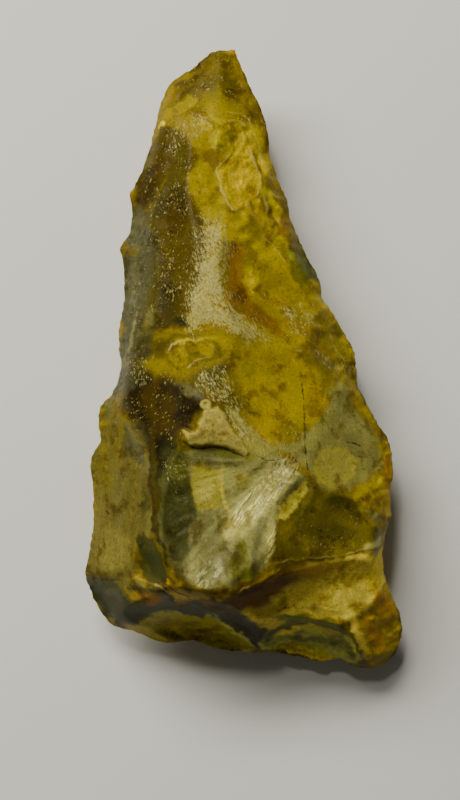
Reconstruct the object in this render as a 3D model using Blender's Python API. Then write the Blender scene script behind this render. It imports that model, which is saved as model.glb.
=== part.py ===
# Stone hand axe: one piece of knapped flint, lying on its flatter side with the tip toward +Y.
import bpy
import numpy as np

for thing in list(bpy.data.objects):
    bpy.data.objects.remove(thing, do_unlink=True)

# Overall sizes of the stone in metres
LENGTH = 0.2075
WIDTH = 0.1065
THICKNESS = 0.054

# The carving below is laid out in millimetres on the stone, then fitted to the overall sizes.
# Flat spot that the stone rests on: centre, half width and half length, and the rise of the belly round it
REST_CENTRE = (-2.0, -28.0)
REST_HALF_WIDTH = 16.0
REST_HALF_LENGTH = 28.0
BELLY_RISE = 0.8

# The struck edge, clockwise from the tip: the corners between edge flakes as x, y and height,
# then how far the stretch to the next corner bows out, or is bitten in when negative
EDGE = [
    (-2.6, 102.6, 20, 0.2),
    (-0.1, 94.2, 19, 0.7),
    (7.1, 81.0, 18, 0.6),
    (9.0, 67.8, 18, -0.3),
    (14.8, 53.2, 17, 0.3),
    (15.8, 47.1, 17, -0.4),
    (25.5, 27.3, 18, 0.3),
    (26.2, 20.5, 19, 0.3),
    (36.4, 4.3, 19, 0.7),
    (38.2, -8.4, 20, -0.4),
    (48.7, -27.0, 20, 1.2),
    (49.1, -42.9, 21, 0.0),
    (49.5, -52.5, 22, -3.0),
    (50.0, -78.8, 17, 0.3),
    (53.8, -88.9, 13, 0.8),
    (51.7, -99.4, 10, 1.0),
    (45.1, -104.5, 8, 0.3),
    (38.9, -104.4, 8, 0.2),
    (32.7, -100.9, 9, 0.3),
    (26.5, -102.4, 9, -0.9),
    (3.2, -98.9, 10, 0.3),
    (-9.2, -97.7, 10, -0.3),
    (-16.9, -94.5, 11, 0.3),
    (-26.1, -95.7, 11, 0.5),
    (-36.9, -91.3, 12, 0.2),
    (-44.6, -89.2, 12, 0.6),
    (-52.3, -73.5, 18, 0.4),
    (-52.0, -68.7, 20, -0.9),
    (-49.3, -43.3, 22, 0.3),
    (-50.6, -34.7, 22, 0.3),
    (-47.0, -27.1, 22, 0.6),
    (-47.2, -16.0, 22, -1.8),
    (-40.4, -1.4, 21, 1.0),
    (-39.9, 16.4, 20, -1.0),
    (-40.7, 36.7, 19, 0.2),
    (-38.2, 40.4, 18, -1.2),
    (-37.8, 54.6, 18, -1.2),
    (-28.9, 78.2, 17, 1.2),
    (-22.6, 93.3, 18, -0.7),
    (-11.1, 101.7, 19, 0.3),
]

# Corners that part the edge into tip, right side, butt and left side
TIP_LEFT = (-22.6, 93.3)
TIP_RIGHT = (-0.1, 94.2)
BUTT_RIGHT = (51.7, -99.4)
BUTT_LEFT = (-44.6, -89.2)

# Broad planes of the upper side: a point on each as x, y, z, then its slopes along x and y
TOP_PLANES = {
    "tip": (-10, 85, 26, 0.02, -0.30),
    "left_flank": (-26, 45, 31.5, 0.85, -0.20),
    "left_margin": (-35, 20, 30.5, 1.2, -0.2),
    "right_flank": (0, 50, 33, -0.55, -0.28),
    "right_edge": (20, 20, 31, -0.76, -0.28),
    "plateau": (-8, -30, 51, -0.05, -0.10),
    "right_shoulder": (25, -30, 44, -0.5, -0.08),
    "cortex_side": (-40, -50, 36, 1.25, -0.12),
    "butt": (-20, -96, 12, 0.35, 2.1),
    "butt_right": (22, -101, 11, 0.25, 1.9),
    "corner": (38, -78, 30, -0.45, 0.42),
    "corner_side": (48, -88, 22, -1.1, 0.55),
    "left_corner": (-46, -84, 17, 1.3, 1.0),
}

# Flake scars of the upper side: centre x and y, bearing of the long axis in degrees, half length,
# half width, depth under the broad planes, then the rise toward the far end and toward the left side
TOP_SCARS = {
    "tip_left": (-16, 89, 55, 17, 12, 1.4, 0, 0),
    "tip_right": (1, 89, 112, 17, 9, 1.6, 0, 0),
    "rough_yellow": (0, 63, 108, 19, 12, 2.2, 0, 0),
    "edge_lumps": (11.5, 49, 108, 11, 7, 2.6, 0, 0),
    "ochre_oval": (-11, 55, 95, 18, 9, 1.4, 0, 0),
    "left_band_up": (-23, 66, 70, 20, 9, 2.0, 0, 0),
    "left_band_low": (-22, 30, 88, 30, 11, 2.6, 0, 0),
    "margin_brown": (-33, 56, 70, 11, 7, 1.8, 0, 0),
    "margin_pale": (-35, 44, 80, 9, 6, 2.4, 0, 0),
    "margin_grey": (-34, 24, 82, 18, 8, 2.2, 0, 0),
    "margin_thin": (-39, 1, 80, 18, 6, 2.0, 0, 0),
    "margin_low": (-43, -13, 60, 11, 6, 1.8, 0, 0),
    "orange_hollow": (8, 24, 115, 25, 18, 5.0, 0, 0),
    "right_nick": (20.5, 33, 120, 11, 6, 2.4, 0, 0),
    "right_rough": (31, 3, 115, 15, 9, 3.2, 0, 0),
    "plateau_yellow": (12, -14, 160, 36, 23, 3.4, 0, 0),
    "plateau_dark": (-29, -12, 100, 30, 14, 3.2, 0, 0),
    "amber": (-13, 2, 12, 30, 17, 1.6, 0, 0),
    "bowl": (-9, -56, 102, 28, 25, 6.0, -2.5, 0),
    "right_grey": (34, -30, 150, 22, 19, 2.8, 0, 0),
    "right_olive": (27, -53, 165, 27, 16, 3.8, 0, 0),
    "sliver": (-32, -48, 98, 24, 5, 1.4, 0, 0),
    "dark_notch": (-30, -66, 100, 9, 6, 2.6, 3, 0),
    "butt_hollow": (30, -77.5, 19, 34, 10.5, 5.2, 6.0, -1.0),
    "lens_left": (-33, -77, 170, 11, 6, 1.5, 0, 0),
    "green_corner": (-46, -80, 130, 8, 7, 1.5, 0, 0),
    "dark_scar": (-18, -84, -8, 32, 8, 5.0, 0, 0),
    "olive_lens": (-12, -91, -10, 20, 7.9, 9.4, 0, -2.4),
    "eye": (22, -94, -6, 19, 11.4, 10.4, 0, -8.9),
    "corner_chip": (48, -86, 120, 12, 8, 1.5, 0, 0),
}

# Broad planes of the underside, laid out in the same way
UNDER_PLANES = {
    "left": (-38, -20, 11, -0.75, 0.06),
    "right": (36, -30, 9, 0.7, 0.15),
    "left_tip": (-28, 50, 12, -0.78, 0.20),
    "right_tip": (8, 50, 11, 0.7, 0.34),
    "butt": (0, -88, 4, -0.03, -0.35),
}

# Flake scars of the underside, fewer and broader
UNDER_SCARS = {
    "tip_left": (-20, 80, 70, 20, 11, 1.4, 0, 0),
    "tip_right": (0, 86, 105, 18, 10, 1.4, 0, 0),
    "left_1": (-30, 42, 75, 24, 12, 2.0, 0, 0),
    "left_2": (-36, 2, 92, 26, 13, 2.2, 0, 0),
    "left_3": (-40, -42, 86, 25, 13, 2.4, 0, 0),
    "left_4": (-40, -78, 60, 18, 14, 2.4, 0, 0),
    "right_1": (12, 52, 112, 22, 11, 2.0, 0, 0),
    "right_2": (25, 14, 118, 25, 13, 2.4, 0, 0),
    "right_3": (38, -24, 105, 24, 14, 2.6, 0, 0),
    "right_4": (42, -64, 92, 24, 14, 2.6, 0, 0),
    "butt_1": (-22, -88, 170, 20, 11, 2.2, 0, 0),
    "butt_2": (8, -91, 4, 20, 11, 2.4, 0, 0),
    "butt_3": (36, -92, 160, 17, 11, 2.2, 0, 0),
    "long_ridge": (-9, 32, 96, 36, 15, 1.6, 0, 0),
}

# Rounding of the broad planes and of the ridges between scars, in millimetres
PLANE_ROUNDING = 2.0
RIDGE_ROUNDING = 0.25

# How far in from the edge a face bends to meet it, in millimetres
EDGE_REACH = 6.0

# Fineness of the carved surface, and the facets kept of it
EDGE_STEP = 0.5
ROWS = 250
COLUMNS = 140
FACETS = 9200


def edge_line():
    """Closed line of the edge at even spacing, its corners slightly eased."""
    stretches = []
    for here, there in zip(EDGE, EDGE[1:] + EDGE[:1]):
        start = np.array(here[:3], float)
        way = np.array(there[:3], float) - start
        outward = np.array([-way[1], way[0], 0.0]) / np.hypot(way[0], way[1])
        share = np.linspace(0.0, 1.0, 12, endpoint=False)[:, None]
        stretches.append(start + way * share + outward * here[3] * 4.0 * share * (1.0 - share))
    line = np.concatenate(stretches)
    closed = np.vstack([line, line[:1]])
    run = np.concatenate([[0.0], np.cumsum(np.hypot(*np.diff(closed[:, :2], axis=0).T))])
    count = int(round(run[-1] / EDGE_STEP))
    marks = np.arange(count) * run[-1] / count
    line = np.stack([np.interp(marks, run, closed[:, axis]) for axis in range(3)], axis=-1)
    for _ in range(4):
        line = 0.25 * np.roll(line, 1, axis=0) + 0.5 * line + 0.25 * np.roll(line, -1, axis=0)
    return line


def soft_low(heights, rounding):
    """Lowest of a stack of heights, with the meeting lines rounded."""
    low = heights.min(axis=0)
    return low - rounding * np.log(np.exp((low - heights) / rounding).sum(axis=0))


def broad_top(x, y):
    """Height of the upper side before its flake scars."""
    stack = [z0 + gx * (x - x0) + gy * (y - y0) for x0, y0, z0, gx, gy in TOP_PLANES.values()]
    return soft_low(np.stack(stack), PLANE_ROUNDING)


def broad_under(x, y):
    """Height of the underside before its flake scars, turned upside down."""
    stack = [-(z0 + gx * (x - x0) + gy * (y - y0)) for x0, y0, z0, gx, gy in UNDER_PLANES.values()]
    across = (x - REST_CENTRE[0]) / REST_HALF_WIDTH
    along = (y - REST_CENTRE[1]) / REST_HALF_LENGTH
    stack.append(-BELLY_RISE * (across**2 + along**2 - 1.0))
    return soft_low(np.stack(stack), PLANE_ROUNDING)


def carve(x, y, broad, scars):
    """Cut the scars into a broad side: each is a shallow bowl that leans with the side at its centre."""
    stack = [broad(x, y)]
    for cx, cy, bearing, half_length, half_width, depth, lean, bank in scars.values():
        sample_x = cx + np.array([0.0, 0.5, -0.5, 0.0, 0.0])
        sample_y = cy + np.array([0.0, 0.0, 0.0, 0.5, -0.5])
        middle, east, west, north, south = broad(sample_x, sample_y)
        turn = np.radians(bearing)
        dx = x - cx
        dy = y - cy
        along = (dx * np.cos(turn) + dy * np.sin(turn)) / half_length
        across = (dy * np.cos(turn) - dx * np.sin(turn)) / half_width
        bowl = depth * (along**2 + across**2 - 1.0) + lean * along + bank * across
        stack.append(middle + (east - west) * dx + (north - south) * dy + bowl)
    return soft_low(np.stack(stack), RIDGE_ROUNDING)


def meet_edge(x, y, height, broad, scars, side, line):
    """Bend a face within a short reach of the edge so that it meets the edge line."""
    own = side * carve(line[None, :, 0], line[None, :, 1], broad, scars)[0]
    short = line[:, 2] - own
    bent = height.copy()
    for row in range(x.shape[0]):
        gap = np.hypot(x[row][:, None] - line[:, 0], y[row][:, None] - line[:, 1])
        near = gap.argmin(axis=1)
        far = gap[np.arange(len(near)), near]
        bent[row] += short[near] * np.clip(1.0 - far / EDGE_REACH, 0.0, 1.0) ** 2
    return bent


def edge_side(line, start, end, count):
    """Evenly spaced points along the edge, clockwise from one corner to the next."""
    first = np.hypot(line[:, 0] - start[0], line[:, 1] - start[1]).argmin()
    last = np.hypot(line[:, 0] - end[0], line[:, 1] - end[1]).argmin()
    steps = (last - first) % len(line)
    stretch = line[(first + np.arange(steps + 1)) % len(line)]
    marks = np.linspace(0.0, steps, count + 1)
    return np.stack([np.interp(marks, np.arange(steps + 1), stretch[:, axis]) for axis in range(3)], axis=-1)


def plan_grid(line):
    """Grid that fills the outline between its four sides, rows from tip to butt."""
    top = edge_side(line, TIP_LEFT, TIP_RIGHT, COLUMNS)
    right = edge_side(line, TIP_RIGHT, BUTT_RIGHT, ROWS)
    bottom = edge_side(line, BUTT_RIGHT, BUTT_LEFT, COLUMNS)[::-1]
    left = edge_side(line, BUTT_LEFT, TIP_LEFT, ROWS)[::-1]
    u = np.linspace(0.0, 1.0, COLUMNS + 1)[None, :, None]
    v = np.linspace(0.0, 1.0, ROWS + 1)[:, None, None]
    ruled = (1.0 - v) * top[None] + v * bottom[None] + (1.0 - u) * left[:, None] + u * right[:, None]
    corners = (1.0 - u) * (1.0 - v) * top[0] + u * (1.0 - v) * top[-1]
    corners = corners + (1.0 - u) * v * bottom[0] + u * v * bottom[-1]
    return ruled - corners


def axe_mesh():
    """Both carved faces on one grid, joined along the edge."""
    line = edge_line()
    grid = plan_grid(line)
    x = grid[..., 0]
    y = grid[..., 1]
    upper = meet_edge(x, y, carve(x, y, broad_top, TOP_SCARS), broad_top, TOP_SCARS, 1.0, line)
    lower = meet_edge(x, y, -carve(x, y, broad_under, UNDER_SCARS), broad_under, UNDER_SCARS, -1.0, line)
    lower = np.maximum(lower, 0.0)
    rim = np.ones(x.shape, bool)
    rim[1:-1, 1:-1] = False
    upper[rim] = grid[..., 2][rim]
    number_up = np.arange(x.size).reshape(x.shape)
    number_down = number_up.copy()
    number_down[~rim] = x.size + np.arange((~rim).sum())
    points = np.stack([x, y, upper], axis=-1).reshape(-1, 3)
    under_points = np.stack([x, y, lower], axis=-1)[~rim]
    points = np.concatenate([points, under_points])
    size = points.max(axis=0) - points.min(axis=0)
    middle = (points.max(axis=0) + points.min(axis=0)) / 2.0
    points[:, 0] = (points[:, 0] - middle[0]) * WIDTH / size[0]
    points[:, 1] = (points[:, 1] - middle[1]) * LENGTH / size[1]
    points[:, 2] = (points[:, 2] - points[:, 2].min()) * THICKNESS / size[2]
    faces = []
    for number, upward in ((number_up, True), (number_down, False)):
        a = number[:-1, :-1].ravel()
        b = number[1:, :-1].ravel()
        c = number[1:, 1:].ravel()
        d = number[:-1, 1:].ravel()
        quads = np.stack([a, b, c, d] if upward else [d, c, b, a], axis=-1)
        faces.extend(quads.tolist())
    mesh = bpy.data.meshes.new("hand_axe")
    mesh.from_pydata(points.tolist(), [], faces)
    mesh.validate()
    return mesh


# Flint of the hand axe
flint = bpy.data.materials.new("ochre_flint")
flint.use_nodes = True
surface = flint.node_tree.nodes["Principled BSDF"]
surface.inputs["Base Color"].default_value = (0.22, 0.15, 0.03, 1.0)
surface.inputs["Roughness"].default_value = 0.35
surface.inputs["Metallic"].default_value = 0.0

# The hand axe: one solid, its carving kept in facets that follow the ridges
axe = bpy.data.objects.new("hand_axe", axe_mesh())
bpy.context.scene.collection.objects.link(axe)
axe.data.materials.append(flint)
facets = axe.modifiers.new("facets", "DECIMATE")
facets.decimate_type = "COLLAPSE"
facets.ratio = FACETS / (4.0 * ROWS * COLUMNS)
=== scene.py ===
import math
import bpy
import numpy as np
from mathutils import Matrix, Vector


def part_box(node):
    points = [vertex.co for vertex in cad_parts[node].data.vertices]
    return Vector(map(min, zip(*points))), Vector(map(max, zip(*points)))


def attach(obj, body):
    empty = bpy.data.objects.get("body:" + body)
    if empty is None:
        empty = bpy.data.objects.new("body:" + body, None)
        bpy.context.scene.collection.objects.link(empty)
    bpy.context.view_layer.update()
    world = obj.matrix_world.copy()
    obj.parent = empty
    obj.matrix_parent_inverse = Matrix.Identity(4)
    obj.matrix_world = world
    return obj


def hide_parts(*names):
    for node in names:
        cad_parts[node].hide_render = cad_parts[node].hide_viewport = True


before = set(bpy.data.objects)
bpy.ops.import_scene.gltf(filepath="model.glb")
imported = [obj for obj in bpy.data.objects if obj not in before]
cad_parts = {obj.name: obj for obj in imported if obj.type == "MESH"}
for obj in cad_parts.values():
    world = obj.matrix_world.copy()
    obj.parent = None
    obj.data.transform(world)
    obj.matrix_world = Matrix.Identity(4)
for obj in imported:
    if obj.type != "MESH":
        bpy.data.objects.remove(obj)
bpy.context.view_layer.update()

# The hand axe: one piece of flint, knapped on both sides to a sinuous edge, with a tapering tip and a
# thick butt. Its skin is stained ochre, olive and brown, frosted white on the battered ridge, and a
# strip of tan cortex is left along the lower left side.

# The struck edge in millimetres, clockwise from the tip: corners between edge flakes as x, y and height,
# then how far the stretch to the next corner bows out, or is bitten in when negative
STRUCK_EDGE = [
    (-2.6, 102.6, 20, 0.2), (-0.1, 94.2, 19, 0.7), (7.1, 81.0, 18, 0.6), (9.0, 67.8, 18, -0.3),
    (14.8, 53.2, 17, 0.3), (15.8, 47.1, 17, -0.4), (25.5, 27.3, 18, 0.3), (26.2, 20.5, 19, 0.3),
    (36.4, 4.3, 19, 0.7), (38.2, -8.4, 20, -0.4), (48.7, -27.0, 20, 1.2), (49.1, -42.9, 21, 0.0),
    (49.5, -52.5, 22, -3.0), (50.0, -78.8, 17, 0.3), (53.8, -88.9, 13, 0.8), (51.7, -99.4, 10, 1.0),
    (45.1, -104.5, 8, 0.3), (38.9, -104.4, 8, 0.2), (32.7, -100.9, 9, 0.3), (26.5, -102.4, 9, -0.9),
    (3.2, -98.9, 10, 0.3), (-9.2, -97.7, 10, -0.3), (-16.9, -94.5, 11, 0.3), (-26.1, -95.7, 11, 0.5),
    (-36.9, -91.3, 12, 0.2), (-44.6, -89.2, 12, 0.6), (-52.3, -73.5, 18, 0.4), (-52.0, -68.7, 20, -0.9),
    (-49.3, -43.3, 22, 0.3), (-50.6, -34.7, 22, 0.3), (-47.0, -27.1, 22, 0.6), (-47.2, -16.0, 22, -1.8),
    (-40.4, -1.4, 21, 1.0), (-39.9, 16.4, 20, -1.0), (-40.7, 36.7, 19, 0.2), (-38.2, 40.4, 18, -1.2),
    (-37.8, 54.6, 18, -1.2), (-28.9, 78.2, 17, 1.2), (-22.6, 93.3, 18, -0.7), (-11.1, 101.7, 19, 0.3),
]
TIP_LEFT, TIP_RIGHT = (-22.6, 93.3), (-0.1, 94.2)
BUTT_RIGHT, BUTT_LEFT = (51.7, -99.4), (-44.6, -89.2)

# Broad planes of the upper side: x, y, z of a point and the slopes along x and y
TOP_PLANES = {
    "tip": (-10, 85, 26, 0.02, -0.30), "left_flank": (-26, 45, 31.5, 0.85, -0.20),
    "left_margin": (-35, 20, 30.5, 1.2, -0.2), "right_flank": (0, 50, 33, -0.55, -0.28),
    "right_edge": (20, 20, 31, -0.76, -0.28), "plateau": (-8, -30, 51, -0.05, -0.10),
    "right_shoulder": (25, -30, 44, -0.5, -0.08), "cortex_side": (-40, -50, 36, 1.25, -0.12),
    "butt": (-20, -96, 12, 0.35, 2.1), "butt_right": (22, -101, 11, 0.25, 1.9),
    "corner": (38, -78, 30, -0.45, 0.42), "corner_side": (48, -88, 22, -1.1, 0.55),
    "left_corner": (-46, -84, 17, 1.3, 1.0),
}
# Flake scars: centre, bearing of the long axis, half length, half width, depth, rise ahead, rise to the left
TOP_SCARS = {
    "tip_left": (-16, 89, 55, 17, 12, 1.4, 0, 0), "tip_right": (1, 89, 112, 17, 9, 1.6, 0, 0),
    "rough_yellow": (0, 63, 108, 19, 12, 2.2, 0, 0), "edge_lumps": (11.5, 49, 108, 11, 7, 2.6, 0, 0),
    "ochre_oval": (-11, 55, 95, 18, 9, 1.4, 0, 0), "left_band_up": (-23, 66, 70, 20, 9, 2.0, 0, 0),
    "left_band_low": (-22, 30, 88, 30, 11, 2.6, 0, 0), "margin_brown": (-33, 56, 70, 11, 7, 1.8, 0, 0),
    "margin_pale": (-35, 44, 80, 9, 6, 2.4, 0, 0), "margin_grey": (-34, 24, 82, 18, 8, 2.2, 0, 0),
    "margin_thin": (-39, 1, 80, 18, 6, 2.0, 0, 0), "margin_low": (-43, -13, 60, 11, 6, 1.8, 0, 0),
    "orange_hollow": (8, 24, 115, 25, 18, 5.0, 0, 0), "right_nick": (20.5, 33, 120, 11, 6, 2.4, 0, 0),
    "right_rough": (31, 3, 115, 15, 9, 3.2, 0, 0), "plateau_yellow": (12, -14, 160, 36, 23, 3.4, 0, 0),
    "plateau_dark": (-29, -12, 100, 30, 14, 3.2, 0, 0), "amber": (-13, 2, 12, 30, 17, 1.6, 0, 0),
    "bowl": (-9, -56, 102, 28, 25, 6.0, -2.5, 0), "right_grey": (34, -30, 150, 22, 19, 2.8, 0, 0),
    "right_olive": (27, -53, 165, 27, 16, 3.8, 0, 0), "sliver": (-32, -48, 98, 24, 5, 1.4, 0, 0),
    "dark_notch": (-30, -66, 100, 9, 6, 2.6, 3, 0), "butt_hollow": (30, -77.5, 19, 34, 10.5, 5.2, 6.0, -1.0),
    "lens_left": (-33, -77, 170, 11, 6, 1.5, 0, 0), "green_corner": (-46, -80, 130, 8, 7, 1.5, 0, 0),
    "dark_scar": (-18, -84, -8, 32, 8, 5.0, 0, 0), "olive_lens": (-12, -91, -10, 20, 7.9, 9.4, 0, -2.4),
    "eye": (22, -94, -6, 19, 11.4, 10.4, 0, -8.9), "corner_chip": (48, -86, 120, 12, 8, 1.5, 0, 0),
}
# The underside, which the photo doesn't show, is plainer: its planes and scars
UNDER_PLANES = {
    "left": (-38, -20, 11, -0.75, 0.06), "right": (36, -30, 9, 0.7, 0.15),
    "left_tip": (-28, 50, 12, -0.78, 0.20), "right_tip": (8, 50, 11, 0.7, 0.34),
    "butt": (0, -88, 4, -0.03, -0.35),
}
UNDER_SCARS = {
    "tip_left": (-20, 80, 70, 20, 11, 1.4, 0, 0), "tip_right": (0, 86, 105, 18, 10, 1.4, 0, 0),
    "left_1": (-30, 42, 75, 24, 12, 2.0, 0, 0), "left_2": (-36, 2, 92, 26, 13, 2.2, 0, 0),
    "left_3": (-40, -42, 86, 25, 13, 2.4, 0, 0), "left_4": (-40, -78, 60, 18, 14, 2.4, 0, 0),
    "right_1": (12, 52, 112, 22, 11, 2.0, 0, 0), "right_2": (25, 14, 118, 25, 13, 2.4, 0, 0),
    "right_3": (38, -24, 105, 24, 14, 2.6, 0, 0), "right_4": (42, -64, 92, 24, 14, 2.6, 0, 0),
    "butt_1": (-22, -88, 170, 20, 11, 2.2, 0, 0), "butt_2": (8, -91, 4, 20, 11, 2.4, 0, 0),
    "butt_3": (36, -92, 160, 17, 11, 2.2, 0, 0), "long_ridge": (-9, 32, 96, 36, 15, 1.6, 0, 0),
}
# Smaller scars cut after the main ones: centre, bearing, half length, half width, depth, and how far the
# depth shifts ahead
SMALL_SCARS = {
    "bowl_step": (-9, -30.5, -6, 12, 2.6, 0.7, 0.0), "bowl_arrow": (-0.5, -67, 88, 9, 3.2, 0.8, -0.4),
    "bowl_strip": (6, -62, 82, 11, 3.2, 0.8, -0.4), "bowl_streak": (-9, -68, 100, 11, 5.0, 0.7, -0.5),
    "bowl_left": (-23, -50, 100, 24, 6.0, 1.0, 0.0), "bowl_right": (16, -47, 56, 11, 4.2, 1.0, 0.3),
    "bowl_glint": (5, -46, 60, 15, 8.0, 1.3, 0.9), "margin_step": (-34, 37, 10, 7, 3.0, 0.7, 0.3),
    "lump_arc": (5.5, 47, 120, 7, 3.0, 1.0, 0.4), "lump_edge": (11.5, 44, 110, 6, 3.4, 0.9, 0.4),
    "lump_top": (9, 54, 100, 6, 3.5, 0.8, 0.0), "rough_a": (-4, 70, 60, 6, 4.0, 0.8, 0.3),
    "rough_b": (2, 59, 110, 8, 5.0, 0.9, 0.0), "rough_c": (-7, 54, 97, 9, 4.4, 0.4, 0.0),
    "rough_d": (5, 71, 110, 7, 4.0, 0.8, 0.3), "hollow_arc": (12, 34, 122, 11, 4.0, 0.8, 0.3),
    "hollow_left": (-1, 25, 95, 13, 4.5, 0.8, 0.0), "grey_corner": (37, -17, 130, 8, 5.0, 0.7, 0.0),
    "crust_a": (45, -36, 95, 9, 4.0, 1.0, 0.3), "crust_b": (46, -50, 85, 9, 4.0, 1.1, 0.0),
    "hollow_side": (14, -79, 35, 12, 5.0, 1.2, 0.0), "tan_face": (38, -80, 70, 11, 7.0, 0.8, 0.0),
    "corner_a": (47, -93, 70, 8, 4.5, 1.0, 0.3), "corner_b": (41, -97, 110, 6, 4.0, 0.9, 0.0),
    "lens_low": (-30, -90, 150, 7, 3.5, 0.9, 0.0), "eye_low": (20, -97, -4, 11, 2.4, 0.8, 0.0),
    "cortex_a": (-42, -30, 88, 10, 4.0, 0.5, 0.0), "cortex_b": (-43, -58, 95, 13, 4.5, 0.5, 0.0),
    "ridge_nick": (-34, -27, 110, 9, 4.0, 0.8, 0.4), "thin_ridge": (-29, 54, 68, 8, 3.2, 0.7, 0.0),
    "tip_left": (-19, 84, 38, 9, 4.5, 0.5, 0.3), "olive_a": (34, -50, 160, 9, 4.5, 0.8, 0.4),
}
# How softly planes and scars meet, and how far in from the edge a face bends to meet it
PLANE_ROUNDING, RIDGE_ROUNDING, EDGE_REACH = 2.0, 0.22, 6.0
# The low belly that the stone rests on: centre, half width, half length and rise
BELLY = (-2.0, -28.0, 16.0, 28.0, 0.8)
# Middle of the stone, from which blows are taken to come, and the height of the ripples in a scar
MIDDLE_X, MIDDLE_Y, RIPPLE = -5, -20, 0.11
# Spacing of the points along the edge, and steps of the grid from tip to butt and from side to side
EDGE_STEP = 0.5
ROWS, COLUMNS = 416, 190


def smooth(value):
    """Share from 0 to 1, eased at both ends."""
    value = np.clip(value, 0.0, 1.0)
    return value * value * (3.0 - 2.0 * value)


def lattice(x, y, size, seed):
    """Smooth random field from -1 to 1 with lumps of the given size."""
    cells = 128
    table = np.random.default_rng(seed).random((cells, cells)) * 2.0 - 1.0
    gx, gy = x / size, y / size
    ix, iy = np.floor(gx).astype(int), np.floor(gy).astype(int)
    fx, fy = smooth(gx - ix), smooth(gy - iy)
    def at(a, b):
        return table[(ix + a) % cells, (iy + b) % cells]
    low = at(0, 0) * (1 - fx) + at(1, 0) * fx
    high = at(0, 1) * (1 - fx) + at(1, 1) * fx
    return low * (1 - fy) + high * fy


def layered(x, y, *layers, start=0.0):
    """Random fields on top of one another, each given by its height, lump size and seed."""
    return sum((height * lattice(x, y, size, seed) for height, size, seed in layers), start)


def turned(x, y, cx, cy, bearing, half_length, half_width):
    """Place along and across an oval, in shares of its half length and half width."""
    turn = math.radians(bearing)
    dx, dy = x - cx, y - cy
    along = (dx * math.cos(turn) + dy * math.sin(turn)) / half_length
    across = (dy * math.cos(turn) - dx * math.sin(turn)) / half_width
    return along, across


def edge_line():
    """Closed line of the struck edge at even spacing, its corners slightly eased."""
    stretches = []
    for here, there in zip(STRUCK_EDGE, STRUCK_EDGE[1:] + STRUCK_EDGE[:1]):
        start = np.array(here[:3], float)
        way = np.array(there[:3], float) - start
        outward = np.array([-way[1], way[0], 0.0]) / np.hypot(way[0], way[1])
        share = np.linspace(0.0, 1.0, 12, endpoint=False)[:, None]
        stretches.append(start + way * share + outward * here[3] * 4.0 * share * (1.0 - share))
    line = np.concatenate(stretches)
    closed = np.vstack([line, line[:1]])
    run = np.concatenate([[0.0], np.cumsum(np.hypot(*np.diff(closed[:, :2], axis=0).T))])
    count = int(round(run[-1] / EDGE_STEP))
    marks = np.arange(count) * run[-1] / count
    line = np.stack([np.interp(marks, run, closed[:, axis]) for axis in range(3)], axis=-1)
    for _ in range(4):
        line = 0.25 * np.roll(line, 1, axis=0) + 0.5 * line + 0.25 * np.roll(line, -1, axis=0)
    return line


def soft_low(heights, rounding):
    """Lowest of a stack of heights, with the meeting lines rounded."""
    low = heights.min(axis=0)
    return low - rounding * np.log(np.exp((low - heights) / rounding).sum(axis=0))


def tilted(x, y, planes):
    """Heights of broad planes."""
    return [z0 + gx * (x - x0) + gy * (y - y0) for x0, y0, z0, gx, gy in planes.values()]


def broad_top(x, y):
    """Upper side before its flake scars."""
    return soft_low(np.stack(tilted(x, y, TOP_PLANES)), PLANE_ROUNDING)


def broad_under(x, y):
    """Underside before its flake scars, turned upside down."""
    stack = [-height for height in tilted(x, y, UNDER_PLANES)]
    bx, by, half_width, half_length, rise = BELLY
    stack.append(-rise * (((x - bx) / half_width) ** 2 + ((y - by) / half_length) ** 2 - 1.0))
    return soft_low(np.stack(stack), PLANE_ROUNDING)


def flake(x, y, surface, scars):
    """Cut flake scars: shallow bowls that lean with the surface, rippled away from where they were struck."""
    stack = [surface(x, y)]
    for number, (cx, cy, bearing, half_length, half_width, depth, lean, bank) in enumerate(scars):
        sample_x = cx + np.array([0.0, 0.5, -0.5, 0.0, 0.0])
        sample_y = cy + np.array([0.0, 0.0, 0.0, 0.5, -0.5])
        middle, east, west, north, south = surface(sample_x, sample_y)
        along, across = turned(x, y, cx, cy, bearing, half_length, half_width)
        # the blow fell at the end of the scar that lies farther from the middle of the stone
        turn = math.radians(bearing)
        ahead, behind = (math.hypot(cx - MIDDLE_X + way * math.cos(turn), (cy - MIDDLE_Y + way * math.sin(turn)) / 2)
                         for way in (9, -9))
        from_blow = np.hypot((along - (1.0 if ahead > behind else -1.0)) * half_length, across * half_width)
        phase = from_blow * 2.0 * math.pi / (3.4 + 0.05 * from_blow) + number + 1.5 * lattice(x, y, 9.0, 90 + number)
        wave = np.sin(phase) * RIPPLE * np.clip(0.35 + 1.1 * lattice(x, y, 8.0, 50 + number), 0.0, 1.4)
        bowl = depth * (along**2 + across**2 - 1.0) + lean * along + bank * across + wave
        stack.append(middle + (east - west) * (x - cx) + (north - south) * (y - cy) + bowl)
    return soft_low(np.stack(stack), RIDGE_ROUNDING)


def dents(x, y, rows):
    """Depth of shallow sharp-rimmed scars."""
    depth = np.zeros(x.shape)
    for *place, deep, shift in rows:
        along, across = turned(x, y, *place)
        bowl = deep * np.clip(1.0 - along**2 - across**2, 0.0, 1.0) * (1.0 + shift * along)
        depth = np.maximum(depth, bowl)
    return depth


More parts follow.
